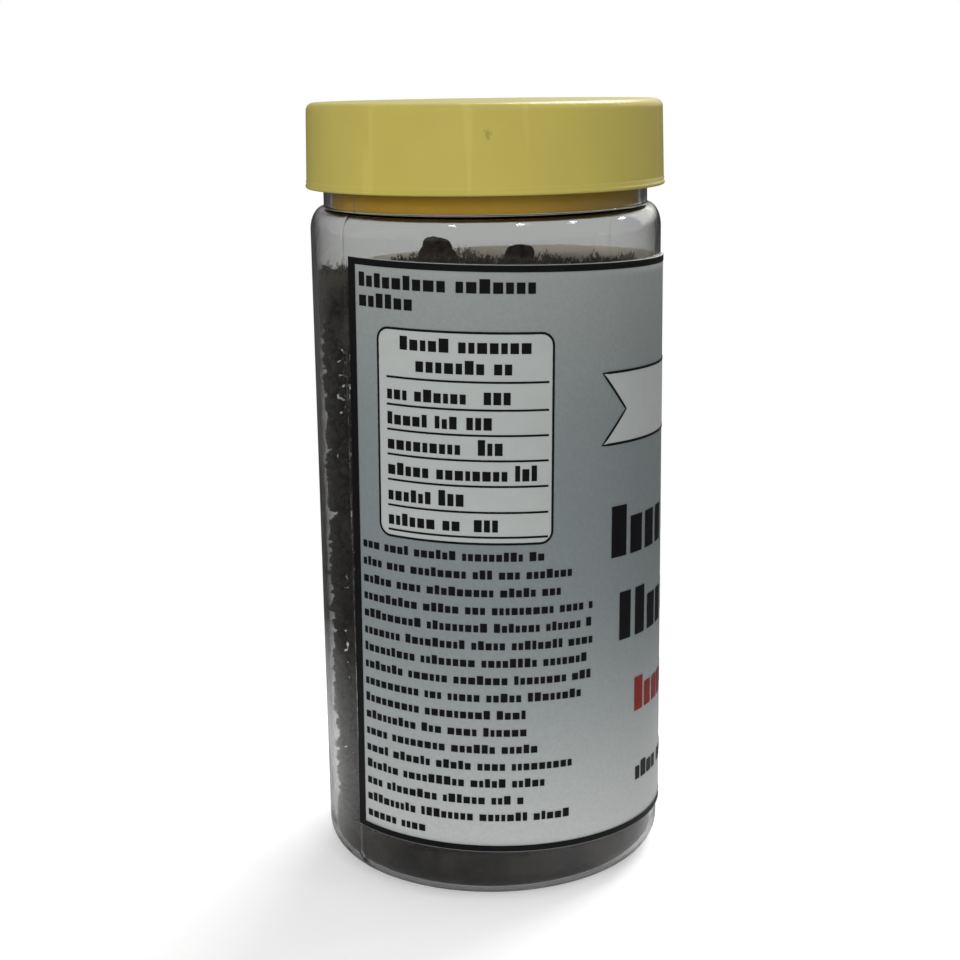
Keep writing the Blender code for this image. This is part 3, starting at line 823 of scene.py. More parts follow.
class PEPPERJAR_OT_label_print(bpy.types.Operator):
    """Lay the printed frame, table, ribbon and plain word blocks on the label"""

    bl_idname = "pepper_jar.label_print"
    bl_label = "Print Label"

    def execute(self, context):
        size = context.scene.pepper_jar_label
        draw = np.random.default_rng(21)
        reach = size.sweep * size.radius / MM
        half = (size.high - size.low) / 2 / MM
        ground, black, red = PrintLayer(), PrintLayer(), PrintLayer()
        self.frame_line(black, reach, half, size.margin / MM)
        self.table(ground, black, draw)
        self.paragraphs(black, draw)
        self.front_panel(ground, black, red, draw)
        self.back_panel(black, draw)
        for layer, name, ink, colour, level in (
            (ground, "label_panels", "label_panel", size.panel, 1),
            (black, "label_marks", "label_ink", size.ink, 2),
            (red, "label_red", "label_red_ink", size.red_ink, 2),
        ):
            layer.finish(name, size, printed_ink(ink, colour), level * size.mark_rise)
        return {"FINISHED"}

    def frame_line(self, black, reach, half, margin):
        """The dark frame just inside the sheet's edge."""
        inset, width, side = 0.10, 1.15, 1.35
        left, right, low, high = inset, reach - inset, -half + inset, half - inset
        start = left - margin
        black.box(start, right, high - width, high)
        black.box(start, right, low, low + width)
        black.box(start, left + side, low + width, high - width)
        black.box(right - side, right, low + width, high - width)

    def table(self, ground, black, draw):
        """The table: a round-cornered box with a two-line title, rules and rows."""
        left, right, low, high = 6.6, 38.6, 4.7, 42.2
        corner = 2.2
        t = np.concatenate([
            ellipse((0, low + corner), corner, -90, 0, 6)[:, 1:],
            ellipse((0, high - corner), corner, 0, 90, 6)[:, 1:],
        ])
        past = np.clip(np.maximum(low + corner - t, t - high + corner), 0, corner)
        inset = corner - np.sqrt(corner**2 - past**2)
        share = np.linspace(0, 1, 23)[None, :]
        along = left + inset + (right - left - 2 * inset) * share
        ground.add_grid(along * MM, (t + 0 * share) * MM)
        black.band(rounded_outline(left, right, low, high, corner))
        block_words(black, draw, 11.2, 35.0, 38.6, 1.9, 1.55)
        block_words(black, draw, 14.2, 31.6, 34.9, 1.9, 1.55)
        rules = (33.6, 28.7, 24.2, 19.7, 15.1, 10.4, 5.9)
        for rule in rules:
            black.rule(8.4, 37.8, rule)
        ends = (30.5, 27.5, 29.5, 36.0, 22.5, 28.8)
        for rule, end in zip(rules[1:], ends):
            block_words(black, draw, 8.5, end - 5.5, rule + 0.95, 1.75, 1.35)
            block_words(black, draw, end - 4.2, end + 0.5, rule + 0.95, 2.2, 1.35)

    def paragraphs(self, black, draw):
        """The heading and the long paragraph beside and under the table."""
        block_words(black, draw, 2.4, 38.2, 49.0, 1.95, 1.7)
        block_words(black, draw, 2.4, 16.0, 45.5, 1.95, 1.7)
        ends = (
            38.5, 43.2, 40.4, 48.0, 47.9, 47.7, 46.5, 47.3, 45.6, 34.4, 35.0, 36.2, 44.3, 37.7,
            33.6, 43.6, 15.4,
        )
        line_space = 3.29
        for i, end in enumerate(ends):
            block_words(black, draw, 2.3, end, 1.5 - i * line_space, 1.3, 1.12)

    def front_panel(self, ground, black, red, draw):
        """The middle panel: a swallow-tail ribbon over bold blocks, a red line and a small line."""
        tip, notch, mid = 48.8, 54.8, 78.3
        low, centre, high = 21.4, 27.5, 34.4
        ends = [(tip, low), (2 * mid - tip, low), (2 * mid - notch, centre)]
        ends += [(2 * mid - tip, high), (tip, high), (notch, centre), (tip, low)]
        black.band(dense(np.array(ends), 1.5), 0.45)
        share = np.linspace(0, 1, 7)[:, None]
        bend = 1 - np.abs(2 * share - 1)
        along = np.linspace(0, 1, 61)[None, :]
        inner_left = tip + (notch - tip) * bend
        s = inner_left + (2 * mid - 2 * inner_left) * along
        t = low + (high - low) * share + 0 * along
        ground.add_grid(s * MM, t * MM)
        for base, tall, wide, start in ((0.2, 9.6, 3.9, 51.4), (-15.9, 9.2, 3.6, 53.8)):
            self.bold_blocks(black, draw, start, 2 * mid - start, base, tall, wide)
        self.bold_blocks(red, draw, 58.9, 2 * mid - 58.9, -31.0, 6.6, 3.0)
        block_words(black, draw, 59.6, 2 * mid - 59.6, -45.0, 2.6, 1.9)

    def bold_blocks(self, layer, draw, left, right, base, tall, wide):
        """Large plain blocks filling a line evenly, with a wider space past the middle."""
        count = max(4, round((right - left) / (wide * 1.36)))
        step = (right - left) / count
        kept = np.delete(np.arange(count), count // 2 - 1)
        start = left + kept * step
        end = start + step * draw.uniform(0.66, 0.80, len(kept))
        high = base + tall * np.where(draw.random(len(kept)) > 0.55, 1.0, 0.74)
        high[0] = base + tall
        for values in zip(start, end, np.full(len(kept), base), high):
            layer.box(*values)

    def back_panel(self, black, draw):
        """The last panel: short lines and an empty ruled box."""
        left, line_space = 116, 3.5
        for i, end in enumerate((152, 155, 149, 153, 156, 150, 138)):
            block_words(black, draw, left, end, 44 - i * line_space, 1.45, 1.18)
        black.band(rounded_outline(left, 156, -22, 10, 2.0))
        for rule in (2.0, -6.0, -14.0):
            black.rule(left + 2, 154, rule)
        for i, end in enumerate((148, 151, 140)):
            block_words(black, draw, left, end, -30 - i * line_space, 1.45, 1.18)


def keep_values(piece, name, values):
    """Stores one value for each point, which the husk's material reads."""
    layer = piece.data.attributes.new(name, "FLOAT", "POINT")
    layer.data.foreach_set("value", values.astype(np.float32))


def powers(along):
    """The powers 0, 1 and 2 of each value, as columns."""
    return np.stack([np.ones_like(along), along, along**2], 1)


def spike_taper(share):
    """How thick a spike is at a share of its length: full at first, then down to 0.7."""
    return 1 - 0.30 * np.clip((share - 0.40) / 0.60, 0, 1) ** 1.7


def read_spike(node):
    """A spike's centre line and size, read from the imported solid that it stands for.

    The long axis comes from the spread of its points, and the centre line is the parabola
    a + b x + c x^2 that lies nearest to them. The thicker end is the stalk end.
    """
    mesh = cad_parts[node].data
    places = np.empty(len(mesh.vertices) * 3)
    mesh.vertices.foreach_get("co", places)
    places = np.unique(np.round(places.reshape(-1, 3), 7), axis=0)
    middle = places.mean(0)
    course = np.linalg.eigh(np.cov((places - middle).T))[1][:, 2]
    along = (places - middle) @ course
    across = places - middle - along[:, None] * course
    bends = np.linalg.lstsq(powers(along), across, rcond=None)[0]
    off = np.linalg.norm(across - powers(along) @ bends, axis=1)
    body = off > 1.5 * MM
    if np.polyfit(along[body], off[body], 1)[0] > 0:
        course, along = -course, -along
        bends[1] = -bends[1]
    widest = np.sort(off)[-16:].mean()
    return middle, course, bends, along.min(), along.max(), widest


def end_berries(reach, around, draw, others=0.0):
    """Berries on a spike's rounded end: one on the pole, then rings of five and nine.

    Reach runs from 0 at the pole to 1 where the sleeve starts; the end is taken as half a ball.
    A berry's height at a place of that ball is h sqrt(1 - (d / 0.42)^2), d from its middle. The
    others, the sleeve's berries, fade out towards the pole.
    """
    level, out = 1 - reach[:, None], np.sqrt(np.clip(reach * (2 - reach), 0, 1))[:, None]
    berry_reach = 0.42
    ball = np.stack([out * np.cos(around), out * np.sin(around), level + 0 * around], -1)
    berry = others * np.clip((reach[:, None] - 0.55) / 0.35, 0, 1)
    for count, lean in ((1, 0.0), (5, 0.72), (9, 1.35)):
        turns = (np.arange(count) + 0.5 * draw.random(count)) * TURN / count
        for turn in turns:
            flat, up = math.sin(lean), math.cos(lean)
            middle = (flat * math.cos(turn), flat * math.sin(turn), up)
            off = ((ball - middle) ** 2).sum(-1) / berry_reach**2
            tall = draw.uniform(0.55, 1.15)
            knob = tall * np.sqrt(np.clip(1 - off, 0, 1)) * (reach[:, None] < 1)
            berry = np.maximum(berry, knob)
    return berry


def spike_grid(node, settings, draw, columns, rows):
    """One dried spike as a grid: a tapering sleeve of small berries along the centre line.

    Radius = R (rise - taper) (1 + slow waves) + relief * berry, with a berry the upper half of a
    ball at each place of a staggered lattice that winds round the spike; returns the places, the
    two poles and the berry height at each place.
    """
    middle, course, bends, start, end, widest = read_spike(node)
    even = np.linspace(0, 1, rows + 2)[1:-1]
    share = 0.5 * (1 - np.cos(np.pi * even)) / 2 + 0.5 * even
    start, end = start + 0.45 * MM, end - 0.45 * MM
    length = end - start
    along = start + length * share
    around = round_angles(columns)
    stalk = 0.030 + 0.018 * draw.random()
    body = np.clip((share - stalk) / (1 - stalk), 0, 1)
    near = np.clip(body / 0.075, 0, 1)
    far = np.clip((1 - body) / 0.105, 0, 1)
    dome = np.sqrt(1 - (1 - near) ** 2) * np.sqrt(1 - (1 - far) ** 2)
    rise = 0.80 + 0.20 * np.sin(np.pi / 2 * np.clip(body / 0.16, 0, 1))
    sleeve = (widest - 0.50 * MM) * rise * spike_taper(body) * dome
    stub = 0.95 * MM * np.sqrt(np.clip(share / 0.012, 0, 1)) * (share < stalk + 0.02)
    radius = np.maximum(sleeve, stub)[:, None] * np.ones(columns)
    for waves, turns, depth in ((2, 2.0, 0.030), (3, 3.5, 0.022), (1, 5.5, 0.030)):
        run = waves * around + turns * TURN * share[:, None] + draw.uniform(0, TURN)
        radius = radius * (1 + depth * np.sin(run))
    rings = max(8, round(length / settings.berry_length))
    cells = settings.berries_around
    u = cells * around[None, :] / TURN + 0.37 * rings * share[:, None] * 0.5
    v = rings * share[:, None] + 0 * around[None, :]
    heights = 0.35 + 0.75 * draw.random((2, rings + 3, cells)) ** 0.7
    heights *= draw.random(heights.shape) > 0.06
    berry = np.zeros_like(radius)
    for lattice in (0, 1):
        du, dv = u - 0.5 * lattice, (v - lattice) / 2
        column, ring = np.round(du), np.round(dv)
        off = ((du - column) / 0.52) ** 2 + ((dv - ring) / 0.30) ** 2
        tall = heights[lattice, np.clip(ring, 0, rings + 2).astype(int), column.astype(int) % cells]
        berry = np.maximum(berry, tall * np.sqrt(np.clip(1 - off, 0, 1)))
    berry = np.maximum(end_berries(near, around, draw), end_berries(far, around, draw, berry))
    full = np.clip(sleeve / (0.3 * widest), 0, 1)[:, None]
    mean_berry = 0.42
    rise_out = (berry - mean_berry) * settings.relief
    radius = np.maximum(radius + rise_out * full, 0.3 * MM)
    rise_on = rise_out * (near - far)[:, None]
    centre = middle + along[:, None] * course + powers(along) @ bends
    slope = unit(course + bends[1] + 2 * along[:, None] * bends[2])
    side = unit(np.cross(slope, np.cross(course, [0.31, 0.52, 0.79])))
    other = np.cross(slope, side)
    cos, sin = np.cos(around)[:, None], np.sin(around)[:, None]
    ring = cos * side[:, None] + sin * other[:, None]
    places = centre[:, None] + rise_on[..., None] * slope[:, None] + radius[..., None] * ring
    first, last = places[0].mean(0), places[-1].mean(0)
    poles = first - slope[0] * 0.1 * MM, last + slope[-1] * 0.1 * MM
    return places, poles, berry


class PEPPERJAR_OT_peppers(bpy.types.Operator):
    """Build every dried spike along the centre line of the solid that it stands for"""

    bl_idname = "pepper_jar.peppers"
    bl_label = "Build Spikes"

    def execute(self, context):
        settings = context.scene.pepper_jar_pepper
        draw = np.random.default_rng(settings.seed)
        husk = pepper_husk(settings)
        if not SPIKE_NODES:
            raise RuntimeError("the frame holds no pepper spikes")
        for node in SPIKE_NODES:
            low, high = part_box(node)
            reach = np.abs([low[:2], high[:2]]).max()
            seen = reach > 25 * MM or high[2] > 105 * MM or low[2] < 6 * MM
            columns, rows = (60, 116) if seen else (28, 46)
            places, poles, berry = spike_grid(node, settings, draw, columns, rows)
            points = np.vstack([places.reshape(-1, 3), *poles])
            piece = add_mesh("dried_" + node, points, ball_faces(rows, columns), [husk])
            # The berry height also drives the husk's painted shade between the berries.
            keep_values(piece, "berry", np.append(berry.reshape(-1), [0.3, 0.3]))
            keep_values(piece, "shade", np.full(len(points), draw.random()))
            own(piece, "jar", "dried_pepper", node)
        return {"FINISHED"}


def spike_spheres(node):
    """A spike as 25 spheres along its centre line, for keeping crumbs clear of it."""
    middle, course, bends, start, end, widest = read_spike(node)
    share = np.linspace(0.04, 0.96, 25)
    along = start + (end - start) * share
    places = middle + along[:, None] * course + powers(along) @ bends
    return places, widest * spike_taper(share) - 0.25 * MM


def heap_level(settings, x, y):
    """Height of the heap's top: it falls to the back and rises a little at the left."""
    fall = settings.heap_slope * (y + settings.heap_radius)
    return settings.heap_top - fall + 0.12 * np.clip(-x - 12 * MM, 0, None)


def crumb_places(settings, draw):
    """Places and radii of crumbs: of many random places, those with most room are taken first.

    Seven in ten places are at the wall where the label leaves it bare, about the left side. Of
    the rest, some lie just over the bed and some just under the heap's top. Room is the least
    distance to the spikes, the wall, the base and the crumbs taken so far.
    """
    spheres = [spike_spheres(node) for node in SPIKE_NODES]
    centres = np.concatenate([places for places, _ in spheres])
    radii = np.concatenate([values for _, values in spheres])
    count = settings.crumb_tries
    wall = settings.heap_radius
    away = np.sqrt(draw.uniform(0.50, 1.0, count)) * wall
    angle = draw.uniform(0, TURN, count)
    bare = count * 7 // 10
    away[:bare] = wall - draw.uniform(0.32 * MM, 1.3 * MM, bare)
    angle[:bare] = math.pi + draw.uniform(-1, 1, bare) * settings.window / 2
    x, y = away * np.cos(angle), away * np.sin(angle)
    level = heap_level(settings, x, y)
    height = draw.uniform(1.2 * MM, level)
    few, more = count // 10, count // 5
    height[bare : bare + few] = draw.uniform(8 * MM, 16 * MM, few)
    height[-more:] = level[-more:] - draw.uniform(0, 8 * MM, more)
    points = np.stack([x, y, height], 1)
    squares = (points**2).sum(1)[:, None] + (centres**2).sum(1)[None, :] - 2 * points @ centres.T
    room = (np.sqrt(np.maximum(squares, 0)) - radii[None, :]).min(1)
    room = np.minimum(room, np.minimum(wall - away, height - 0.9 * MM))
    largest, least = settings.crumb_radius, 0.30 * MM
    order = np.argsort(-room)
    order = order[room[order] > least]
    taken, sizes = np.zeros((0, 3)), np.zeros(0)
    for i in order:
        gap = room[i]
        if len(taken):
            gap = min(gap, (np.linalg.norm(taken - points[i], axis=1) - sizes).min())
        if gap > least:
            taken = np.vstack([taken, points[i]])
            sizes = np.append(sizes, min(gap, largest * draw.uniform(0.35, 1.0)))
        if len(taken) >= settings.crumb_count:
            break
    return taken, sizes


class PEPPERJAR_OT_crumbs(bpy.types.Operator):
    """Fill the room between the spikes with broken bits, over a bed of fine crumbs"""

    bl_idname = "pepper_jar.crumbs"
    bl_label = "Build Crumbs"

    def execute(self, context):
        settings = context.scene.pepper_jar_pepper
        draw = np.random.default_rng(settings.seed + 1)
        husk = pepper_husk(settings)
        self.bits(settings, draw, husk)
        self.bed(settings, draw, husk)
        return {"FINISHED"}

    def bits(self, settings, draw, husk):
        """Each bit is a ball with three slow waves, stretched and turned its own way."""
        centres, sizes = crumb_places(settings, draw)
        count = len(sizes)
        rows, columns = 3, 6
        polar = np.linspace(0, np.pi, rows + 2)[1:-1][None, :, None]
        around = round_angles(columns)[None, None, :]
        radius = np.ones((count, rows, columns))
        for waves, climbs in ((2, 2.0), (3, 4.0), (4, 5.0)):
            phase = draw.uniform(0, TURN, (count, 1, 1))
            radius = radius + 0.13 * np.sin(waves * around + climbs * polar + phase)
        ball = np.stack([
            radius * np.sin(polar) * np.cos(around),
            radius * np.sin(polar) * np.sin(around),
            radius * np.cos(polar) + 0 * around,
        ], -1).reshape(count, -1, 3)
        poles = np.broadcast_to(np.array([[0, 0, 0.95], [0, 0, -0.95]]), (count, 2, 3))
        ball = np.concatenate([ball, poles], 1)
        stretch = draw.uniform((0.70, 0.50, 0.9), (1.0, 0.90, 1.45), (count, 3))
        turns = np.linalg.qr(draw.normal(size=(count, 3, 3)))[0]
        turns *= np.sign(np.linalg.det(turns))[:, None, None]
        places = (ball * stretch[:, None, :] * sizes[:, None, None]) @ turns.transpose(0, 2, 1)
        places = places + centres[:, None, :]
        each = rows * columns + 2
        first = (np.arange(count) * each)[:, None, None]
        faces = [
            (block[None, :, ::-1] + first).reshape(-1, block.shape[1])
            for block in ball_faces(rows, columns)
        ]
        piece = add_mesh("pepper_crumbs", places.reshape(-1, 3), faces, [husk], smooth=False)
        # The bits' dips get the husk's painted shade, their bulges its lighter colour.
        bumps = np.append((radius[0] - 0.67).reshape(-1) / 0.66, [0.5, 0.5])
        keep_values(piece, "berry", np.tile(bumps, count))
        keep_values(piece, "shade", np.repeat(draw.random(count), each))
        own(piece, "jar", "dried_pepper")

    def bed(self, settings, draw, husk):
        """A bed on the base and a crust under the top: closed discs, lumpy above and outside."""
        out = settings.heap_radius + 0.05 * MM
        spread = np.linspace(0, 1, 30)
        foot = ellipse((27.85 * MM, 5.0 * MM), (3.9 * MM, 3.95 * MM), -90, 0, 10)
        dome = 1.2 * MM * (1 - smooth_step((spread * foot[0, 0] / (22 * MM) - 0.72) / 0.28))
        under = np.stack([spread * foot[0, 0], 1.05 * MM + dome], -1)
        top = settings.bed_height
        side = line((out, 5.4 * MM), (out, top - 0.5 * MM), 0.6 * MM)
        over = np.stack([spread[::-1] * (out - 0.4 * MM), np.full(len(spread), top)], -1)
        bed = np.concatenate([under[:-1], foot, side, over])
        first = len(under) - 1 + len(foot)
        self.lumpy_disc("pepper_bed", bed, first, settings, draw, husk)
        high, deep, reach = settings.heap_top - 4.5 * MM, 5 * MM, out - 6 * MM
        flat = spread[:-1] * (reach - deep / 2)
        rows = len(flat)
        crust = np.concatenate([
            np.stack([flat, np.full(rows, high - deep)], -1),
            ellipse((reach - deep / 2, high - deep / 2), deep / 2, -90, 90, 14),
            np.stack([flat[::-1], np.full(rows, high)], -1),
        ])
        self.lumpy_disc("pepper_crust", crust, rows, settings, draw, husk, True)
        self.film(settings)

    def film(self, settings):
        """Dust on the wall at the heap's top: a thin closed band whose material thins it out."""
        inner, outer = settings.heap_radius + 0.06 * MM, settings.heap_radius + 0.14 * MM
        low, high = 82 * MM, 121.5 * MM
        profile = np.concatenate([
            line((outer, low), (outer, high), 3 * MM), line((outer, high), (inner, high), MM),
            line((inner, high), (inner, low), 3 * MM), line((inner, low), (outer, low), MM),
        ])
        piece = turned_surface("dust_film", profile, round_angles(160), [wall_dust(settings)])
        own(piece, "jar", "dried_pepper")

    def lumpy_disc(self, name, profile, smooth_rows, settings, draw, husk, sloping=False):
        """A turned disc whose rows after the first few are moved by a sum of random waves.

        Wave i = 0.02 p_i sin(2 pi (x cos a_i + y sin a_i + z cos b_i) / p_i + c_i), with p_i the
        pitch. The sum lifts the top, and pulls the side in where it is negative.
        """
        angles = round_angles(180)
        x, y = profile[:, :1] * np.cos(angles), profile[:, :1] * np.sin(angles)
        z = profile[:, 1:] + 0 * x
        waves = np.zeros_like(x)
        for pitch in (14, 9, 6, 4, 2.8, 2.1):
            for _ in range(3):
                way, lean, phase = draw.uniform(0, TURN, 3)
                run = x * np.cos(way) + y * np.sin(way) + z * np.cos(lean)
                waves += np.sin(TURN * run / (pitch * MM) + phase) * pitch * 0.02 * MM
        free = (np.arange(len(profile)) >= smooth_rows)[:, None]
        steep = np.clip(np.abs(np.gradient(profile[:, 1])) / (0.3 * MM), 0, 1)[:, None]
        lift = waves * free * (1 - steep)
        if sloping:
            lift = lift + heap_level(settings, x, y) - settings.heap_top
        relief = (np.minimum(waves, 0.1 * MM) - 0.2 * MM) * free * steep
        piece = turned_surface(name, profile, angles, [husk], relief, lift)
        # The dips of the waves get the husk's painted shade, their crests its lighter colour.
        values = np.append((waves[1:-1] / (1.2 * MM) + 0.5).reshape(-1), [0.5, 0.5])
        keep_values(piece, "berry", np.clip(values, 0, 1))
        keep_values(piece, "shade", np.full(len(values), 0.4))
        own(piece, "jar", "dried_pepper")


class PEPPERJAR_OT_seal(bpy.types.Operator):
    """Build the plug seal under the lid"""

    bl_idname = "pepper_jar.seal"
    bl_label = "Build Plug Seal"

    def execute(self, context):
        size = context.scene.pepper_jar_lid
        top = size.top - size.wall - size.gap
        under, low = top - size.plate, size.ring_low
        ring, flange = size.ring_radius, size.flange_radius
        inner, edge = ring - size.ring_wall, 0.25 * MM
        profile = np.concatenate([
            line((0, under), (inner - edge, under), 4 * MM),
            ellipse((inner - edge, under - edge), edge, 90, 0, 4),
            line((inner, under - 2 * edge), (inner, low + edge), 2 * MM),
            ellipse((inner + edge, low + edge), edge, 180, 270, 4),
            ellipse((ring - 2 * edge, low + 2 * edge), 2 * edge, -90, 0, 6),
            line((ring, low + 3 * edge), (ring, under - edge), 2 * MM),
            ellipse((ring + edge, under - edge), edge, 180, 90, 4),
            ellipse((flange - edge, under + edge), edge, -90, 0, 4),
            ellipse((flange - edge, top - edge), edge, 0, 90, 4),
            line((flange - 2 * edge, top), (0, top), 4 * MM),
            [(0.0, top)],
        ])
        plastic = moulded_plastic("yellow_seal_plastic", size.seal_colour, 0.55)
        piece = turned_surface("plug_seal", profile, round_angles(160), [plastic])
        own(piece, "seal", "seal_plastic", "lid_seal")
        return {"FINISHED"}
class PEPPERJAR_OT_lid(bpy.types.Operator):
    """Build the screw lid with its bead, rounded edge and inner thread"""

    bl_idname = "pepper_jar.lid"
    bl_label = "Build Lid"

    def execute(self, context):
        size = context.scene.pepper_jar_lid
        thread = context.scene.pepper_jar_thread
        inner, wide, narrow = size.inner_radius, size.bottom_radius, size.top_radius
        low, top, edge, bead = size.bottom, size.top, size.edge, size.bead
        ceiling, hollow, lip = top - size.wall, 0.6 * MM, 0.2 * MM
        inside = [
            line((0, ceiling), (inner - hollow, ceiling), 4 * MM),
            ellipse((inner - hollow, ceiling - hollow), hollow, 90, 0, 4),
            line((inner, ceiling - hollow - 0.2 * MM), (inner, low + lip), 0.22 * MM),
        ]
        outside = [
            ellipse((inner + lip, low + lip), lip, 180, 270, 4),
            ellipse((wide - bead / 2, low + bead / 2), bead / 2, -90, 62, 10),
            ellipse((wide + 0.10 * MM, low + 2.1 * bead), (0.30 * MM, 0.55 * MM), -130, -180, 5),
            line((wide - 0.21 * MM, low + 2.6 * bead), (narrow, top - edge), 1.0 * MM),
            ellipse((narrow - edge, top - edge), edge, 0, 90, 14),
            line((narrow - edge - 0.4 * MM, top), (0, top), 3 * MM),
            [(0.0, top)],
        ]
        profile = np.concatenate(inside + outside)
        angles = round_angles(208)
        start = thread.start - thread.pitch / 2
        relief = thread_ridge(angles, profile[:, 1], thread, start, 1.0)
        above, last = len(inside[0]) + len(inside[1]), sum(map(len, inside))
        relief[:above] = 0
        relief[last:] = 0
        nick = (0.5 * MM, -narrow, top - 5.3 * MM)
        plastic = moulded_plastic("yellow_lid_plastic", size.colour, 0.34, nick)
        piece = turned_surface("screw_lid", profile, angles, [plastic], -0.75 * relief)
        own(piece, "lid", "lid_plastic", "lid")
        return {"FINISHED"}
class PEPPERJAR_OT_stage(bpy.types.Operator):
    """Set the pale floor, the lamps, the surround and the camera"""

    bl_idname = "pepper_jar.stage"
    bl_label = "Set Stage"

    def execute(self, context):
        for part in (self.floor, self.lamps, self.surround, self.camera):
            part(context.scene.pepper_jar_stage)
        context.scene.view_settings.view_transform = "Standard"
        return {"FINISHED"}

    def floor(self, stage):
        """A flat floor whose far side rises in a quarter circle to a backdrop."""
        bend, near, far, high, half = 0.6, -2.5, 1.6, 3.0, 3.5
        corner = ellipse((far, bend), bend, -90, 0, 24)
        course = np.concatenate([[(near, 0.0)], corner, [(far + bend, high)]])
        wide = np.array([[-half, half]])
        parts = np.broadcast_arrays(wide, course[:, :1], course[:, 1:])
        places = np.stack(parts, -1).reshape(-1, 3)
        faces = grid_faces(len(course), 2, close_columns=False)
        floor = add_mesh("studio_floor", places, [faces], [self.floor_paint(stage)])

    def floor_paint(self, stage):
        """Pale matt paint that takes the shadow near the jar and fades to even white far away.

        Away from the jar the plastic mirrors a dark room and shows a grey one through itself.
        """
        material, tree, near, output = new_material("studio_floor")
        where, place = object_place(tree)
        away = add_node(tree, "VectorMath", {0: where}, operation="LENGTH").outputs["Value"]
        high = remap(tree, place["Z"], 0.15, 0.60, 0.0, 1.0)
        aside = remap(tree, place["X"], -0.8, 0.7, 0.15, 1.0)
        share = combine(tree, "MULTIPLY", high, aside)
        glow = blend_colours(tree, share, stage.mirrored, stage.glow)
        path, mirror = mirror_ray(tree)
        duller = scaled(stage.floor, stage.floor_mirrored)
        feed(tree, near, {
            "Base Color": blend_colours(tree, mirror, stage.floor, duller),
            "Roughness": 0.85,
            "Specular IOR Level": 0.1,
            "Emission Color": WHITE,
            "Emission Strength": remap(
                tree, path["Is Camera Ray"], 0.0, 1.0, 0.0, stage.floor_lift
            ),
        })
        far = by_ray(tree, "Emission", WHITE, stage.surround, glow)
        fade = remap(tree, away, stage.fade_start, stage.fade_end, 0.0, 1.0)
        feed(tree, output, {"Surface": mix_shaders(tree, fade, near.outputs["BSDF"], far)})
        return material

    def lamps(self, stage):
        """Four small lamps in a row above the front, a wide low one at the left and one behind.

        The wide one is low, so that it also shines in through the clear shoulder. The plastic
        mirrors the small lamps only.
        """
        small = ((-27, 50), (28, 50), (70, 44), (112, 30))
        for i, (azimuth, elevation) in enumerate(small):
            name = f"lamp_{i + 1}"
            self.lamp(name, azimuth, elevation, 1.15, stage.lamp_size, stage.lamp_power)
        large = 0.6
        wide = self.lamp("lamp_wide", -24, 17, 1.3, large, stage.wide_power)
        wide.visible_glossy = wide.visible_transmission = False
        self.lamp("lamp_behind", 150, 52, 1.2, large, stage.behind_power)

    def lamp(self, name, azimuth, elevation, away, side, power):
        """A square lamp of this side, in this direction from the jar's middle, facing it."""
        clear_piece(name)
        light = bpy.data.lights.new(name, "AREA")
        light.size = side
        light.energy = power
        item = bpy.data.objects.new(name, light)
        bpy.context.scene.collection.objects.link(item)
        a, e = math.radians(azimuth), math.radians(elevation)
        back = np.array([math.sin(a) * math.cos(e), -math.cos(a) * math.cos(e), math.sin(e)])
        right = unit(np.cross([0, 0, 1], back))
        up = np.cross(back, right)
        item.matrix_world = basis(right, up, back, back * away + [0, 0, 70 * MM])
        return item

    def surround(self, stage):
        """A plain world: white where it is seen, dull in mirrors, and grey through the plastic."""
        world = bpy.data.worlds.get("studio_surround") or bpy.data.worlds.new("studio_surround")
        world.use_nodes = True
        tree = world.node_tree
        tree.nodes.clear()
        picked = by_ray(tree, "Background", WHITE, stage.surround, stage.overhead)
        add_node(tree, "OutputWorld", {"Surface": picked})
        bpy.context.scene.world = world

    def camera(self, stage):
        """The camera, turned by pitch, yaw and roll about its own axes."""
        p, y, r = stage.pitch, stage.yaw, stage.roll
        ahead = np.array([math.sin(y) * math.cos(p), math.cos(y) * math.cos(p), -math.sin(p)])
        level = np.array([math.cos(y), -math.sin(y), 0.0])
        upright = np.array([math.sin(y) * math.sin(p), math.cos(y) * math.sin(p), math.cos(p)])
        right = level * math.cos(r) + upright * math.sin(r)
        up = upright * math.cos(r) - level * math.sin(r)
        clear_piece("front_camera")
        data = bpy.data.cameras.new("front_camera")
        data.sensor_width = 36.0
        data.lens = stage.lens
        data.clip_start = 0.01
        item = bpy.data.objects.new("front_camera", data)
        bpy.context.scene.collection.objects.link(item)
        item.matrix_world = basis(right, up, -ahead, (0, -stage.camera_away, stage.camera_height))
        bpy.context.scene.camera = item


def mirror_ray(tree):
    """The outputs that tell a ray's kind, and 1 for a ray that was mirrored on its way."""
    path = add_node(tree, "LightPath").outputs
    return path, combine(tree, "GREATER_THAN", path["Glossy Depth"], 0.5)


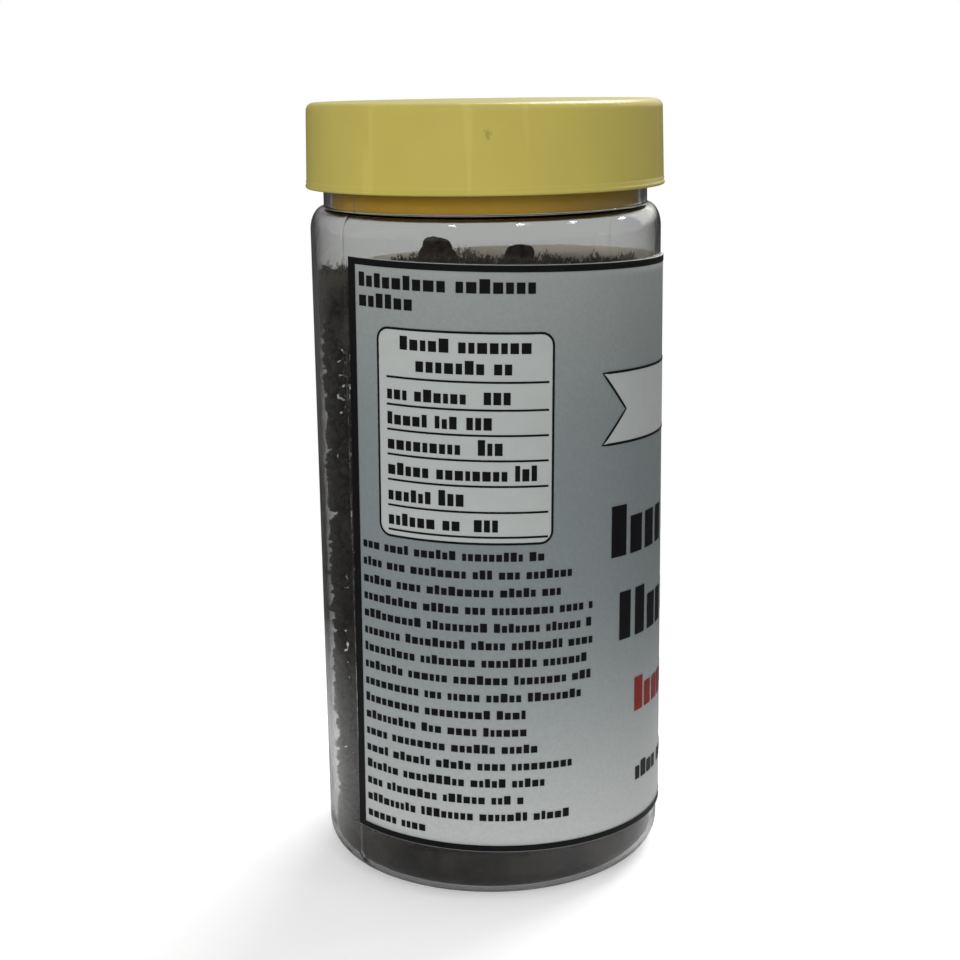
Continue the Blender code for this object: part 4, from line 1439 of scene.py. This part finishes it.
def by_ray(tree, kind, seen, through, mirrored):
    """A glow with a colour for each kind of ray: the camera's own, any other, a mirrored one."""
    tones = [
        add_node(tree, kind, {"Color": tone}).outputs[kind] for tone in (seen, through, mirrored)
    ]
    path, mirror = mirror_ray(tree)
    other = mix_shaders(tree, mirror, tones[1], tones[2])
    return mix_shaders(tree, path["Is Camera Ray"], other, tones[0])


def basis(right, up, back, place):
    """The matrix of an object with these three axes at this place."""
    columns = np.stack([right, up, back, np.asarray(place, dtype=float)], -1)
    return Matrix(np.vstack([columns, [0, 0, 0, 1]]).tolist())


class PEPPERJAR_PT_panel(bpy.types.Panel):
    """Lists the steps that build the jar"""

    bl_idname = "PEPPERJAR_PT_panel"
    bl_label = "Pepper Jar"
    bl_space_type = "VIEW_3D"
    bl_region_type = "UI"
    bl_category = "Pepper Jar"

    def draw(self, context):
        column = self.layout.column(align=True)
        for step in STEPS:
            column.operator(step.bl_idname)


SETTINGS = {
    "pepper_jar_bottle": BottleSettings,
    "pepper_jar_thread": ThreadSettings,
    "pepper_jar_label": LabelSettings,
    "pepper_jar_pepper": PepperSettings,
    "pepper_jar_lid": LidSettings,
    "pepper_jar_stage": StageSettings,
}
STEPS = (
    PEPPERJAR_OT_bottle,
    PEPPERJAR_OT_label,
    PEPPERJAR_OT_label_print,
    PEPPERJAR_OT_peppers,
    PEPPERJAR_OT_crumbs,
    PEPPERJAR_OT_seal,
    PEPPERJAR_OT_lid,
    PEPPERJAR_OT_stage,
)
CLASSES = (*SETTINGS.values(), *STEPS, PEPPERJAR_PT_panel)


def register():
    """Adds the classes, and one group of settings of each kind to the scene."""
    for item in CLASSES:
        bpy.utils.register_class(item)
    for name, group in SETTINGS.items():
        setattr(bpy.types.Scene, name, bpy.props.PointerProperty(type=group))


def unregister():
    """Takes the settings and the classes away again."""
    for name in SETTINGS:
        delattr(bpy.types.Scene, name)
    for item in reversed(CLASSES):
        bpy.utils.unregister_class(item)


def main():
    """Builds everything."""
    register()
    bpy.ops.pepper_jar.bottle()
    bpy.ops.pepper_jar.label()
    bpy.ops.pepper_jar.label_print()
    bpy.ops.pepper_jar.peppers()
    bpy.ops.pepper_jar.crumbs()
    bpy.ops.pepper_jar.seal()
    bpy.ops.pepper_jar.lid()
    bpy.ops.pepper_jar.stage()


if __name__ == "__main__":
    main()
